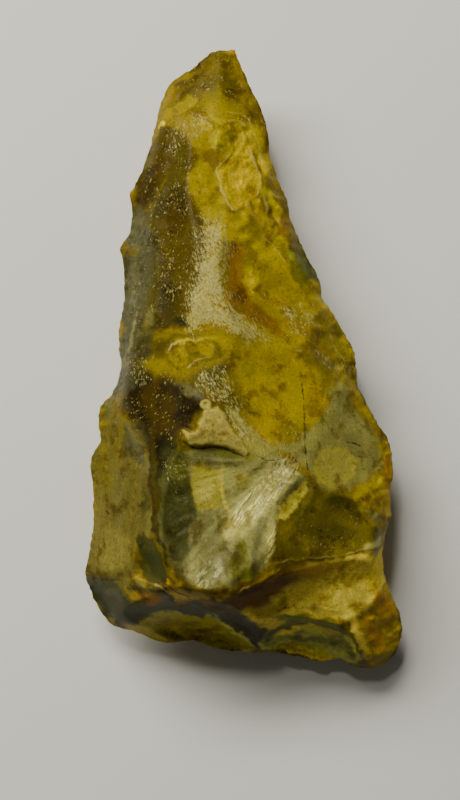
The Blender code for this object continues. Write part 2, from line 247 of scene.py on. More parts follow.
def edge_flakes(spacing, seed):
    """Small flakes struck in from the edge all the way round."""
    throw = np.random.default_rng(seed)
    rows = []
    place = 0.0
    while place < len(edge) - 4:
        at = int(place)
        way = edge[(at + 3) % len(edge)] - edge[at - 3]
        inward = np.array([way[1], -way[0]]) / math.hypot(way[0], way[1])
        half_length = throw.uniform(2.4, 5.5)
        half_width = throw.uniform(1.5, 3.2)
        inset = half_length * throw.uniform(0.2, 0.6)
        cx, cy = edge[at, 0] + inward[0] * inset, edge[at, 1] + inward[1] * inset
        bearing = math.degrees(math.atan2(inward[1], inward[0])) + throw.uniform(-25, 25)
        rows.append((cx, cy, bearing, half_length, half_width, throw.uniform(0.15, 0.75), -0.4))
        place += spacing / EDGE_STEP * throw.uniform(0.5, 1.4)
    return rows


def upper_side(x, y):
    return flake(x, y, broad_top, TOP_SCARS.values())


def under_side(x, y):
    return -flake(x, y, broad_under, UNDER_SCARS.values())


def worn(x, y, inset, rows):
    """Depth lost to small scars, chips of the edge, and the slight unevenness of the stone."""
    uneven = layered(x, y, (0.16, 9.0, 31), (0.09, 3.6, 32), (0.035, 1.3, 33))
    return (dents(x, y, rows) + uneven) * np.clip(inset / 0.8, 0.0, 1.0)


def meet_edge(x, y, side):
    """A side, bent within a short reach of the edge so that it meets the edge line, and the distance in from it."""
    short = edge[:, 2] - side(edge[None, :, 0], edge[None, :, 1])[0]
    bent, inset = side(x, y), np.empty(x.shape)
    for row in range(x.shape[0]):
        gap = np.hypot(x[row][:, None] - edge[:, 0], y[row][:, None] - edge[:, 1])
        near = gap.argmin(axis=1)
        inset[row] = gap[np.arange(len(near)), near]
        bent[row] += short[near] * np.clip(1.0 - inset[row] / EDGE_REACH, 0.0, 1.0) ** 2
    return bent, inset


def edge_side(start, end, marks):
    """Points along the edge, clockwise from one corner to the next, at shares of the way."""
    first, last = (np.hypot(edge[:, 0] - x, edge[:, 1] - y).argmin() for x, y in (start, end))
    steps = (last - first) % len(edge)
    stretch = edge[(first + np.arange(steps + 1)) % len(edge)]
    return np.stack([np.interp(marks * steps, np.arange(steps + 1), stretch[:, a]) for a in range(3)], axis=-1)


# the edge line, with the small teeth that battering left on it
edge = edge_line()
along_edge = np.arange(len(edge)) * EDGE_STEP
tooth = layered(along_edge, 0 * along_edge, (0.22, 3.1, 41), (0.2, 1.1, 42))
way = np.roll(edge, -2, axis=0) - np.roll(edge, 2, axis=0)
out = np.stack([-way[:, 1], way[:, 0]], axis=-1) / np.hypot(way[:, 0], way[:, 1])[:, None]
edge[:, :2] += out * tooth[:, None]
edge[:, 2] += 0.5 * lattice(along_edge, 0 * along_edge, 3.1, 43)
# one grid of places for both sides, its rows closer together towards the butt
u = np.linspace(0.0, 1.0, COLUMNS + 1)
v = np.linspace(0.0, 1.0, ROWS + 1)
v = v + 0.22 * v * (1.0 - v)
top_row, bottom_row = edge_side(TIP_LEFT, TIP_RIGHT, u), edge_side(BUTT_RIGHT, BUTT_LEFT, u)[::-1]
right_column = edge_side(TIP_RIGHT, BUTT_RIGHT, v)
left_column = edge_side(BUTT_LEFT, TIP_LEFT, 1.0 - v[::-1])[::-1]
uu, vv = u[None, :, None], v[:, None, None]
grid = (1 - vv) * top_row[None] + vv * bottom_row[None] + (1 - uu) * left_column[:, None] + uu * right_column[:, None]
grid -= (1 - uu) * (1 - vv) * top_row[0] + uu * (1 - vv) * top_row[-1]
grid -= (1 - uu) * vv * bottom_row[0] + uu * vv * bottom_row[-1]
x, y = grid[..., 0], grid[..., 1]
upper, inset = meet_edge(x, y, upper_side)
upper -= worn(x, y, inset, list(SMALL_SCARS.values()) + edge_flakes(3.4, 5))
# small scars fade out towards the level spot under the belly
lower, _ = meet_edge(x, y, under_side)
lower += worn(x, y, inset, edge_flakes(4.5, 9)) * smooth((lower - 0.3) / 1.5)
lower = np.maximum(lower, 0.0)
rim = np.ones(x.shape, bool)
rim[1:-1, 1:-1] = False
upper[rim] = grid[..., 2][rim]

# Tones of the stone: red, green and blue, and how dull the stone is there; some also serve for painted highlights,
# reflection and shadow
TONES = {
    "olive_brown": (121, 103, 18, 0.42), "dark_brown": (53, 45, 8, 0.34), "red_brown": (59, 47, 6, 0.36),
    "black_brown": (38, 30, 6, 0.34), "blue_black": (49, 51, 19, 0.4), "ochre": (140, 123, 17, 0.5),
    "yellow": (155, 138, 16, 0.52), "bright_yellow": (183, 157, 22, 0.58), "orange": (136, 100, 9, 0.46),
    "olive": (98, 92, 14, 0.38), "dark_olive": (89, 80, 16, 0.32), "green_grey": (85, 85, 31, 0.34),
    "grey_olive": (98, 96, 52, 0.3), "pale_grey": (117, 115, 65, 0.28), "warm_grey": (113, 109, 50, 0.42),
    "pale_oval": (155, 146, 52, 0.48), "cortex": (92, 85, 36, 0.78), "cortex_pale": (109, 101, 45, 0.8),
    "tan": (250, 224, 84, 0.72), "chalk": (250, 234, 90, 0.85), "frost": (200, 190, 118, 0.62),
    "cream": (152, 144, 70, 0.42), "chalky_tan": (162, 149, 70, 0.85), "under_brown": (118, 97, 13, 0.5),
    "deep_brown": (91, 58, 8, 0.55),
}
# Where they lie on the upper side, seen from above and laid over one another from first to last. Each is
# an oval, as centre, bearing, half length and half width, or an outline in one list; then come the tone, the
# softness of its border in millimetres, its strength, and a shade that darkens or lightens the tone. Some
# of them are painted highlights, reflection and shadow, as the comments below say
PATCHES = [
    # tip
    (-7.4, 91.5, 60, 15.1, 13.2, "olive_brown", 4, 1, 1.1), (-13, 90.8, 62, 11.2, 7.2, "olive_brown", 3, 1, 0.65),
    (0.2, 92.1, -75, 11.2, 3.9, "olive_brown", 1.5, 1, 1.15), (-17.3, 90.1, 52, 11.2, 3, "red_brown", 3, 0.5, 1.15),
    (-7.1, 88.8, 0, 5.6, 4.3, "olive", 3, 0.55, 0.45), (-2.1, 100.7, 20, 2.3, 1.3, "orange", 1.5, 0.6, 2.9),
    (-5.7, 81.6, -6, 11.8, 2.6, "ochre", 3, 0.8, 0.4),
    ([(-25.5, 78.3), (-24.5, 81.6), (-21.5, 84.2), (-18.9, 85.7), (-16.3, 85.5), (-15, 84.1), (-16.6, 82.3),
     (-19.6, 80.6), (-21.5, 79), (-24.5, 77.3)], "ochre", 0.9, 1, 0.95),
    (-26.3, 75, 60, 2, 1.5, "yellow", 0.9, 1, 4.6), (-18.6, 92.1, 35, 3.9, 1, "yellow", 1.5, 0.5, 0.7),
    (1.8, 86.2, -60, 7.2, 2, "olive_brown", 2, 0.7, 0.85), (8.4, 75.7, -75, 5.9, 1.6, "orange", 2, 0.8, 0.5),
    # ringed patch and rough yellow zone, with the smooth ochre oval beside them
    (-3.4, 63.5, 105, 23.7, 11.2, "ochre", 4, 1, 0.9), (-4.8, 75.7, -10, 9.9, 2.6, "yellow", 2.5, 0.7, 1.35),
    (-7.4, 72.1, 80, 4.3, 3.6, "yellow", 1.2, 0.8, 0.85), (-7.1, 72.1, 80, 2.6, 2.1, "olive", 1, 0.7, 3.95),
    (-7.1, 71.7, 80, 1.3, 1, "yellow", 0.8, 0.8, 1.25), (-9, 76, 0, 1.5, 1.2, "yellow", 0.7, 0.7, 0.55),
    ([(-18.1, 59.9), (-17.3, 62.8), (-14.3, 62.5), (-11, 63.2), (-8.4, 61.2), (-7.1, 56.6), (-5.4, 51), (-4.1, 47.4),
     (-6.7, 44.8), (-9.7, 44.8), (-13.3, 48.4), (-15.9, 52), (-17.9, 55.9)], "yellow", 0.7, 1, 0.75),
    (-14.3, 57.9, 80, 4.3, 2, "ochre", 2, 0.5, 1.2),
    ([(-8.4, 61.9), (-4.1, 67.8), (0.2, 74), (2.2, 69.4), (4.1, 62.5), (6.1, 56.3), (4.1, 53.3), (1.5, 50),
     (-4.1, 48.4), (-6.1, 52)], "bright_yellow", 0.8, 1, 0.85),
    (-0.8, 59.2, 80, 3.9, 3, "bright_yellow", 2, 0.9, 1.3),
    (1.5, 68.4, 75, 3.6, 1.3, "bright_yellow", 1.5, 0.7, 1.2), (-3.4, 53.3, 100, 3, 1.3, "yellow", 1.5, 0.6, 0.9),
    (5.8, 68.4, -68, 8.6, 1.6, "yellow", 1.5, 0.7, 1.85), (9.4, 62.5, -72, 7.2, 1.6, "olive_brown", 1.5, 0.8, 1.95),
    (6.4, 63.2, -65, 2.6, 1.6, "bright_yellow", 1.2, 0.6, 1.9), (8.4, 53.3, -60, 3.6, 2, "olive", 1.2, 0.7, 4.25),
    (4.5, 48, -62, 4.9, 2, "olive_brown", 1.5, 0.9, 2.05), (3.1, 50, -60, 3.3, 0.8, "yellow", 0.8, 0.7, 0.6),
    (11.4, 47.4, -75, 3.9, 2, "yellow", 1.4, 0.8, 2.25), (14, 43.4, -70, 3, 1.3, "orange", 1.2, 0.9, 1.1),
    (-7.4, 44.4, 25, 3, 1.5, "yellow", 0.8, 0.9, 0.8), (-2.1, 42.1, 60, 5.3, 2.6, "yellow", 2, 0.7, 2.1),
    # left flank
    ([(-27.1, 75.7), (-19.9, 75), (-16.6, 71.1), (-15.3, 65.1), (-18.6, 59.2), (-17.9, 53.3), (-14, 47.4),
     (-12, 42.1), (-11.7, 35.5), (-12.7, 27.3), (-14, 19.1), (-19.2, 11.2), (-30.4, 9.2), (-33.7, 19.1), (-33, 31.6),
     (-30.4, 43.4), (-29.8, 50.7), (-36.3, 50), (-36.3, 57.3), (-31.7, 66.5)], "dark_brown", 3, 1, 1.85),
    (-30.4, 59.2, 62, 11.2, 3.6, "red_brown", 2.5, 0.95, 1.3), (-31.7, 53.3, 70, 5.3, 2.6, "red_brown", 2, 0.8, 0.7),
    (-31.7, 62.5, 60, 4.6, 1.3, "warm_grey", 2, 0.35, 0.75), (-20.5, 62.5, 80, 9.2, 2.6, "olive", 2.5, 0.55, 0.45),
    (-21.9, 49.4, 85, 8.6, 3.9, "black_brown", 3, 0.6, 2.15),
    (-27.8, 50.3, 62, 6.6, 1.5, "grey_olive", 1.6, 0.6, 0.4), (-28.1, 53.3, 62, 6.6, 0.6, "yellow", 0.6, 0.9, 0.3),
    (-30.1, 46.1, 82, 4.3, 0.6, "yellow", 0.7, 0.7, 0.2), (-24.5, 19.1, 85, 7.9, 3, "dark_olive", 3, 0.7, 0.2),
    (-20.2, 11.9, -10, 2.6, 1.6, "blue_black", 1.5, 0.9, 0.3),
    # left margin; its long pale grey streak is painted reflection of the pale table
    ([(-36.7, 50), (-30.4, 47.4), (-30.1, 38.8), (-32.7, 31.6), (-31.7, 19.1), (-33, 9.2), (-35.7, 2),
     (-39.6, -11.2), (-44.9, -20.4), (-47.5, -20.4), (-42.9, -11.2), (-40.3, 2), (-39.6, 19.1), (-39.6, 35.5),
     (-38.3, 41.5)], "grey_olive", 2.6, 1, 0.45), (-34.7, 44.1, 75, 4.3, 3, "pale_grey", 1.8, 0.8, 0.45),
    (-31.7, 46.7, 60, 4.6, 0.7, "pale_grey", 0.8, 0.5, 0.2), (-38, 35.5, -20, 3.9, 2, "olive_brown", 1.5, 0.9, 0.55),
    (-30.4, 31.6, 80, 7.9, 3, "grey_olive", 3, 0.7, 0.4), (-33.4, 20.4, 83, 13.8, 2.6, "grey_olive", 3, 0.7, 0.45),
    # painted reflection of the table: the long pale grey streak, first on the next line
    (-36, 19.1, 86, 14.5, 1, "pale_grey", 1.5, 0.4, 0.7), (-30.4, 22.4, 78, 9.9, 1.3, "green_grey", 2, 0.5, 0.65),
    (-38.3, 5.3, 83, 11.2, 1.5, "warm_grey", 1.4, 0.7, 0.3), (-36.7, 6.6, 80, 11.2, 0.5, "frost", 0.8, 0.35, 0.6),
    (-40.9, -8.5, 74, 8.6, 1.3, "pale_grey", 1.2, 0.8, 0.35),
    (-44.2, -17.1, 68, 4.6, 1.6, "warm_grey", 1.2, 0.7, 0.65),
    # orange hollow and the scars to its right
    ([(-4.8, 40.1), (1.2, 44.1), (6.4, 42.8), (11, 38.8), (15, 32.9), (17.6, 27), (22.9, 19.8), (28.8, 11.9),
     (30.8, 5.3), (24.8, 2), (16.3, 2.6), (7.7, 5.3), (1.8, 10.5), (-3.4, 17.8), (-5.4, 23.7), (-5.7, 31.6)],
     "ochre", 2.6, 1, 0.9), (-1.8, 31.6, 95, 7.2, 2.6, "orange", 2.2, 0.9, 1.35),
    (-2.1, 21.7, 110, 4.6, 3.3, "orange", 2.2, 0.95, 1), (5.2, 14.2, -42, 10.5, 3, "orange", 2.5, 0.9, 0.65),
    (3.1, 25, 80, 4.6, 3, "yellow", 1.6, 0.95, 1.3), (9.1, 34.2, -50, 6.6, 3, "yellow", 2, 0.9, 1.3),
    (12.7, 30.3, -50, 2.6, 2, "bright_yellow", 1.5, 0.8, 0.6),
    (2.2, 24, 70, 2.6, 1.6, "bright_yellow", 1.5, 0.7, 1.05), (18.9, 15.1, -40, 7.2, 2.6, "ochre", 2.5, 0.8, 0.6),
    (20.2, 9.2, -30, 6.6, 2.3, "orange", 2, 0.6, 0.55), (11, 19.1, -35, 5.3, 2, "olive_brown", 2, 0.6, 1.8),
    (-1.5, 40.5, 0, 5, 2.6, "yellow", 2.5, 0.7, 1.7), (10, 40, -30, 4.5, 2.2, "yellow", 2, 0.7, 1.3),
    ([(14.3, 36.9), (18.3, 37.5), (20.9, 34.2), (24.2, 28.3), (24.8, 24.4), (20.2, 22.4), (17.6, 24.4), (15, 28.3),
     (16, 31.6)], "olive", 1, 1, 0.9), (20.6, 30.3, -60, 4.6, 2.3, "blue_black", 1.4, 0.9, 3.6),
    (16.3, 34.9, -60, 3.3, 1.3, "green_grey", 1.2, 0.6, 3.7), (24.2, 23.7, -50, 2.3, 1.3, "ochre", 1, 0.9, 1.55),
    (26.2, 17.8, -50, 5.9, 1.6, "ochre", 1.6, 0.8, 1.7), (22.9, 11.9, -55, 5.9, 1.3, "cream", 2, 0.25, 1.2),
    # right side below it
    ([(26.2, 14.5), (29.5, 13.2), (33.4, 8.6), (36, 2), (36, -2.6), (32.7, -2), (29.5, 2), (26.2, 6.6)],
     "dark_olive", 1.2, 1, 2.15), (28.8, 11.9, -60, 4.6, 1, "olive_brown", 1.2, 0.7, 1.3),
    (24.8, 5.3, -50, 5.3, 2, "olive_brown", 1.5, 0.9, 1.1), (31.4, 7.9, -60, 3, 1.3, "olive", 1.2, 0.7, 0.7),
    (34.7, 4, -62, 3.9, 1.2, "yellow", 1, 0.8, 0.85), (32.1, -2.6, -50, 4.6, 1.3, "yellow", 1.5, 0.8, 0.75),
    (26.2, -2, -30, 5.3, 1.6, "pale_grey", 1.5, 0.45, 0.85),
    # amber band and plateau
    ([(-29.8, 9.2), (-21.2, 8.6), (-18.6, 9.9), (-12.7, 8.6), (-2.1, 7.3), (6.4, 4.6), (18.3, 2), (28.8, -2.6),
     (32.1, -8.5), (27.5, -15.1), (22.9, -23), (18.9, -27), (11, -30.9), (6.4, -29.6), (2.5, -25.6), (-1.5, -20.4),
     (-6.7, -13.8), (-12, -8.5), (-18.6, -7.2), (-27.1, -5.2), (-33.7, -4.6), (-33, 2.6)], "ochre", 3, 1, 0.65),
    (-23.2, 4, 10, 9.2, 3.3, "olive_brown", 2.5, 0.8, 0.2), (1.2, 4, -8, 13.2, 2.6, "ochre", 2.5, 0.7, 1),
    (13, -9.2, -35, 17.1, 11.2, "ochre", 4, 0.9, 1.35), (17.6, -11.2, -50, 11.2, 4.6, "yellow", 4, 0.7, 1),
    (24.2, -13.1, -50, 5.3, 3, "orange", 3, 0.35, 0.9), (6.4, -1.3, -10, 8.6, 3, "olive_brown", 3, 0.5, 1.2),
    (1.5, -3.3, 0, 2.6, 2, "olive", 2, 0.7, 1.9),
    ([(-24.8, 2.6), (-23.8, 5.3), (-20.5, 6.6), (-15.3, 6.9), (-10, 5.3), (-7.7, 3.3), (-9.4, 0.3), (-12, -1.3),
     (-15.3, -1), (-17.3, -2), (-19.2, -3.6), (-22.5, -3.3), (-24.5, -0.6)], "yellow", 0.8, 1, 0.35),
    (-20.5, 0, 90, 3, 3, "yellow", 0.9, 0.7, 0.8), (-14.6, 3, 2, 4.9, 2, "olive_brown", 1, 0.55, 1.05),
    (-14, 2.6, 2, 3.6, 1.2, "yellow", 0.8, 0.6, 0.9), (-15.3, 5.3, 6, 5.9, 0.7, "yellow", 0.7, 0.7, 1.25),
    ([(-37, -4.6), (-33, -4.6), (-27.1, -5.9), (-18.6, -7.9), (-12.7, -9.9), (-8.7, -15.1), (-12, -16.4),
     (-14.6, -20.4), (-16.6, -23.7), (-21.2, -23.7), (-21.9, -28.3), (-23.8, -36.8), (-27.8, -46.7), (-30.4, -40.1),
     (-31.1, -32.2), (-34.4, -25), (-38.3, -20.4), (-40.9, -17.7), (-39.6, -11.2)], "black_brown", 5, 1, 1),
    (-27.8, -15.1, 100, 9.9, 5.3, "red_brown", 3, 0.65, 1.3), (-33, -6.6, 60, 4.6, 3, "blue_black", 2.5, 0.75, 0.2),
    (-24.5, -20.4, 120, 8.6, 3, "red_brown", 2.5, 0.6, 0.9),
    (-31.7, -27, -60, 7.2, 1.3, "warm_grey", 1.5, 0.4, 0.65), (-10.7, -5.9, 20, 7.2, 3, "olive", 2.5, 0.8, 0.35),
    (-6.1, -13.1, -60, 9.2, 3, "olive", 2, 0.7, 0.2),
    ([(-5.4, -15.1), (-2.1, -17.1), (1.2, -21.7), (4.5, -25), (9.7, -28.3), (15, -28.9), (13.7, -31.6), (6.4, -33.5),
     (2.5, -32.2), (0.5, -27), (-2.1, -23)], "warm_grey", 1.8, 0.9, 1.5),
    (8.4, -23.7, -35, 6.6, 3.3, "olive_brown", 3, 0.7, 2.3), (6.4, -28.3, -20, 6.6, 2, "tan", 2, 0.45, 0.3),
    (13, -25.6, -20, 5.3, 2.3, "ochre", 2.5, 0.6, 0.8), (-37, -6, 65, 6, 2.2, "grey_olive", 2, 0.65, 0.2),
    (-32.8, 3.2, 66, 7.5, 2.8, "grey_olive", 2, 0.9, 0.3), (-25.5, 10.2, 0, 5.2, 1.7, "dark_olive", 1.8, 0.85, 0.25),
    (-29.8, 12.6, 70, 3.4, 1.6, "pale_grey", 1.5, 0.6, 0.95),
    (-37.2, -6.8, 62, 4.6, 1.8, "dark_olive", 1.6, 0.7, 0.3), (-17.6, -10.4, -20, 4, 1.8, "grey_olive", 2, 0.7, 1),
    # grey right shoulder with its pale oval, and the crust along the edge
    ([(31.4, -6.6), (35.4, -12.5), (39.3, -19.7), (44.6, -26.3), (47.9, -32.2), (47.2, -36.8), (42.6, -38.1),
     (38.7, -40.8), (34.1, -43.4), (28.8, -44.7), (24.8, -42.1), (22.9, -38.1), (18.3, -33.5), (13.7, -31.6),
     (17.6, -28.3), (22.9, -23.7), (26.8, -17.7), (28.8, -12.5)], "warm_grey", 2.4, 1, 1.4),
    (34.1, -17.7, -58, 8.6, 3, "grey_olive", 2.5, 0.6, 2.1),
    (18.9, -30.9, -10, 5.9, 2, "grey_olive", 1.5, 0.7, 1.65),
    (37.3, -28.9, -50, 5.3, 2.3, "grey_olive", 2.5, 0.5, 1), (30.6, -35.5, 90, 7.2, 7.1, "pale_oval", 0.9, 0.9, 1),
    (30.8, -35.5, 90, 5.9, 5.8, "warm_grey", 1.5, 0.35, 1.2),
    ([(43.3, -27), (47.9, -27), (49.8, -32.2), (49.8, -46.7), (47.9, -56.6), (44.6, -57.2), (40.6, -53.3),
     (36, -47.4), (35.4, -44.1), (39.3, -40.8), (43.3, -38.1), (45.9, -36.8), (46.6, -32.2)], "ochre", 1.3, 1, 1.15),
    (47.2, -38.8, 88, 8.6, 1.6, "orange", 1.4, 0.6, 2.1), (44.6, -44.1, 70, 4.6, 2, "yellow", 1.6, 0.8, 1.5),
    (40.6, -45.4, 30, 3.9, 1.3, "ochre", 1.6, 0.7, 0.45), (48.2, -50.6, 85, 4.6, 1, "olive_brown", 1, 0.8, 2.5),
    (38.7, -14.5, -60, 8.6, 1.2, "ochre", 1.6, 0.8, 1.3), (47.2, -61.8, 80, 2.6, 1.3, "olive_brown", 1.2, 0.6, 6),
    # bowl, with painted highlights among its tones
    ([(-21.9, -30.9), (-17.3, -30.9), (-12.7, -29.9), (-5.4, -30.9), (2.5, -32.9), (10.4, -32.2), (13.7, -33.5),
     (17.6, -36.8), (21.6, -40.1), (22.9, -43.4), (20.2, -46.7), (15.6, -49.3), (12.3, -53.3), (10.4, -59.9),
     (9.1, -67.1), (4.5, -70.4), (-0.8, -74.3), (-9.4, -75.6), (-17.3, -73.7), (-21.9, -70.4), (-25.2, -63.8),
     (-27.8, -55.9), (-28.4, -46.7), (-27.1, -38.1), (-24.5, -33.5)], "grey_olive", 1.2, 1, 1.75),
    ([(-31.1, -27), (-25.8, -26.3), (-21.9, -29.6), (-24.5, -34.2), (-26.5, -40.8), (-27.1, -49.3), (-25.8, -59.9),
     (-23.2, -68.4), (-24.5, -71.7), (-27.1, -66.4), (-29.8, -54.6), (-30.4, -43.4)], "dark_brown", 1.8, 1, 0.25),
    (-21.6, -47.4, 92, 20, 5.9, "blue_black", 3, 0.9, 1.2), (-21.9, -56.6, 100, 11.2, 3, "green_grey", 3, 0.6, 0.45),
    (-19.9, -36.8, 80, 4.6, 3, "green_grey", 2.5, 0.6, 1.4),
    # painted shadow: the blue-black strip under the chalk's step, first on the next line
    (-6.7, -30.9, -6, 11.2, 1.3, "blue_black", 1.4, 0.8, 4.75), (-8, -33.2, 0, 8.6, 2, "green_grey", 2.5, 0.6, 0.3),
    ([(-16.6, -41.4), (-15.3, -36.8), (-12, -35.5), (-8.7, -36.2), (-5.4, -35.5), (-4.8, -37.5), (-6.7, -40.1),
     (-7.7, -44.1), (-7.4, -48.7), (-10, -50.3), (-14, -50), (-16.3, -46.7)], "pale_oval", 1.4, 1, 0.9),
    (-12.3, -43.4, 90, 4.9, 2.6, "cream", 2, 0.4, 1.3), (-6.1, -42.1, 98, 6.6, 1, "yellow", 1.4, 0.45, 2.85),
    (-1.5, -39.5, -20, 7.2, 3.9, "grey_olive", 2.5, 0.6, 2.65), (1.2, -39.5, 0, 3, 2, "yellow", 1.5, 0.35, 0.95),
    # painted highlights on these three lines: the pale grey band along the diagonal, the cream ovals beside it and
    # the pale grey oval at the upper right; the grey olive oval between them keeps a darker gap
    (5, -46, 46, 14, 5, "pale_grey", 3, 0.9, 2.7), (11, -40.8, 35, 7.9, 3, "cream", 3, 0.6, 0.8),
    (-1.5, -54, 50, 7, 3, "cream", 2.5, 0.7, 1.35), (7.8, -53.6, 55, 6, 2.6, "grey_olive", 3, 0.75, 1.25),
    (12.3, -37.5, -40, 4.6, 2.6, "pale_grey", 1.5, 0.7, 2.25),
    (-10.7, -59.9, 110, 9.9, 4.6, "grey_olive", 3.5, 0.8, 1.2),
    # painted highlight: the pale grey oval at the lower left, first on the next line
    (-10.3, -70.4, -14, 5.2, 4, "pale_grey", 2.5, 0.85, 1.25), (-4.4, -65.8, 100, 6.6, 1.4, "olive", 1.2, 0.7, 0.55),
    (-5.7, -67.1, 104, 5.9, 0.7, "yellow", 0.8, 0.65, 0.2),
    ([(-0.8, -58.5), (1.5, -62.5), (3.5, -67.1), (4.8, -71), (2.5, -73), (-1.5, -73), (-3.8, -71), (-2.8, -65.1)],
     "green_grey", 0.7, 1, 1.45), (-0.8, -68.4, 90, 4.6, 1, "olive", 1.2, 0.5, 0.45),
    # painted highlight: the cream strip at the right, second on the next line
    (4.5, -61.8, 80, 7.9, 1.6, "pale_grey", 1.8, 0.6, 0.4), (9.1, -59.2, 84, 7.2, 1, "cream", 1.2, 0.85, 1),
    (-18.6, -73.1, -36, 4.2, 1.5, "dark_brown", 1.4, 0.7, 0.45),
    (-20.8, -69.3, -50, 3.4, 1.3, "dark_brown", 1.4, 0.7, 1.1),
    # olive scar right of the bowl; the small pale grey oval at its right end and the cream line along its lower rim
    # are painted highlights
    ([(13.7, -53.3), (16.3, -49.3), (20.2, -46), (23.5, -42.7), (28.8, -44.7), (34.1, -43.4), (36.7, -47.4),
     (41.3, -53.3), (45.2, -57.2), (47.9, -59.9), (45.2, -62.5), (39.3, -63.8), (31.4, -64.8), (20.9, -65.1),
     (13, -67.1), (9.7, -68.4), (10.4, -61.2)], "dark_olive", 1.3, 1, 1.6),
    (24.8, -54.6, -12, 11.2, 5.3, "dark_olive", 3, 0.6, 0.8),
    (34.1, -49.3, -35, 5.9, 2.6, "green_grey", 2.5, 0.45, 0.5), (28.8, -57.9, 0, 7.9, 2.6, "olive", 2.5, 0.5, 0.45),
    (11.7, -61.8, 100, 5.3, 1.3, "dark_olive", 1.5, 0.8, 1.3),
    ([(11.7, -53.9), (12.3, -49.3), (15.6, -45.4), (18.9, -41.4), (21.2, -40.8), (21.9, -43.4), (19.6, -46.7),
     (16.3, -50), (13.7, -53.3)], "pale_oval", 0.9, 1, 2.25), (42.6, -51.3, -40, 2.3, 1, "pale_grey", 1, 0.7, 1.35),
    (42, -61.8, 22, 7.9, 0.9, "cream", 1, 0.6, 0.45), (44.6, -59.9, 30, 4.6, 1.3, "warm_grey", 1.4, 0.5, 6),
    (46.6, -64.5, 60, 3.9, 1.6, "ochre", 1.5, 0.7, 6),
    # cortex strip and the lens at its top
    ([(-42.9, -17.7), (-39.6, -19.7), (-35, -23.7), (-31.7, -28.3), (-30.7, -34.2), (-31.4, -41.4), (-30.1, -48.7),
     (-29.4, -56.6), (-31.7, -60.5), (-34.4, -63.8), (-35, -71), (-39, -72.7), (-45.5, -72), (-52.1, -69.7),
     (-51.1, -62.5), (-48.8, -53.3), (-49.2, -42.7), (-49.8, -32.9), (-47.5, -25.6), (-44.9, -20.4)], "cortex", 1.1,
     1, 1.05), (-45.5, -33.5, 86, 13.2, 2, "ochre", 2.5, 0.6, 0.45),
    (-40.3, -27, 80, 8.6, 1.6, "ochre", 2, 0.6, 0.45), (-36.3, -46.7, 92, 15.1, 2.3, "cortex", 2.5, 0.7, 0.85),
    (-42.9, -63.8, 85, 7.9, 5.3, "cortex_pale", 3, 0.8, 1.15),
    (-48.2, -53.3, 84, 9.9, 1.3, "cortex_pale", 2, 0.6, 1.05),
    (-40.9, -46.7, 92, 11.2, 1.3, "grey_olive", 2, 0.35, 0.85),
    (-35.7, -28.9, -62, 7.2, 2.3, "warm_grey", 1.3, 0.75, 0.25),
    (-33.4, -25.6, -55, 5.9, 0.7, "pale_grey", 0.8, 0.5, 0.4),
    (-31.7, -47.4, 88, 7.2, 1.3, "blue_black", 2, 0.65, 0.5),
    (-30.4, -56.6, 95, 7.2, 1.2, "warm_grey", 1.5, 0.6, 0.8),
    (-28.4, -46.7, 93, 21.1, 1, "olive_brown", 1.4, 0.75, 0.3), (-25.5, -66.4, 110, 7.9, 0.8, "ochre", 1, 0.8, 0.45),
    ([(-34.4, -57.9), (-31.7, -61.2), (-29.1, -63.8), (-27.1, -68.4), (-26.5, -73.7), (-29.1, -75), (-31.7, -73),
     (-34.4, -69.7), (-35.7, -65.1)], "blue_black", 1.2, 1, 0.9),
    (-30.4, -68.4, 105, 4.6, 1.6, "green_grey", 1.5, 0.5, 0.5),
    (-31.4, -63.8, 110, 3.9, 0.7, "pale_grey", 1, 0.35, 0.95),
    (-35, -65.1, 100, 4.6, 1, "dark_brown", 1.2, 0.7, 4.55),
    ([(-34, -59.9), (-31.7, -58.5), (-29.4, -61.8), (-27.1, -65.8), (-25.2, -70.4), (-24.5, -73.7), (-27.8, -74.3),
     (-31.1, -72.4), (-33.4, -68.4)], "blue_black", 1, 0.95, 1.65),
    (-30.4, -67.1, 108, 5.3, 1, "green_grey", 1.2, 0.6, 0.4), (-27.8, -70.4, 112, 4.6, 0.7, "ochre", 0.8, 0.55, 0.3),
    ([(-34.7, -59.2), (-31.7, -57.2), (-28.4, -59.2), (-26.5, -63.1), (-24.5, -68.4), (-23.2, -75.3), (-26.1, -74.3),
     (-29.4, -70.4), (-32.4, -66.1), (-34.4, -62.5)], "blue_black", 1.4, 0.9, 0.95),
    # butt: corner lens, a black band that is painted shadow under the lip above it, and olive lens
    # painted shadow: the black band under the lip
    ([(-52.1, -70.4), (-45.5, -72.4), (-38.3, -73), (-33.7, -74.3), (-27.1, -77), (-21.9, -79.6), (-14, -80.9),
     (-5.4, -83.5), (2.5, -88.1), (8.4, -92.1), (9.7, -96), (4.5, -96), (-3.4, -95.4), (-14, -93.4), (-23.2, -92.7),
     (-30.4, -91.4), (-40.3, -88.1), (-46.2, -83.5), (-49.5, -77.6)], "blue_black", 1.5, 1, 1.85),
    (-44.9, -78.9, -45, 7.2, 3, "green_grey", 1.8, 0.9, 0.35),
    (-42.9, -77, -45, 2.3, 1.6, "pale_grey", 1.4, 0.3, 0.85),
    ([(-41.6, -73.7), (-37.7, -72.4), (-32.4, -73.3), (-27.8, -75.6), (-26.1, -77.6), (-28.4, -79.6), (-33, -80.6),
     (-38.3, -78.9), (-40.9, -76.3)], "cortex_pale", 0.9, 1, 1.1),
    (-34.7, -77, -12, 3, 1.3, "under_brown", 1.2, 0.5, 6), (-29.8, -78.3, -20, 3.3, 1.6, "deep_brown", 1.6, 0.5, 6),
    (-27.8, -75, -40, 8.6, 1.1, "cortex_pale", 0.9, 0.9, 0.45),
    ([(-25.2, -72.4), (-21.9, -75), (-15.3, -77.6), (-7.4, -78.3), (0.5, -75.6), (6.4, -71.7), (9.7, -69.1),
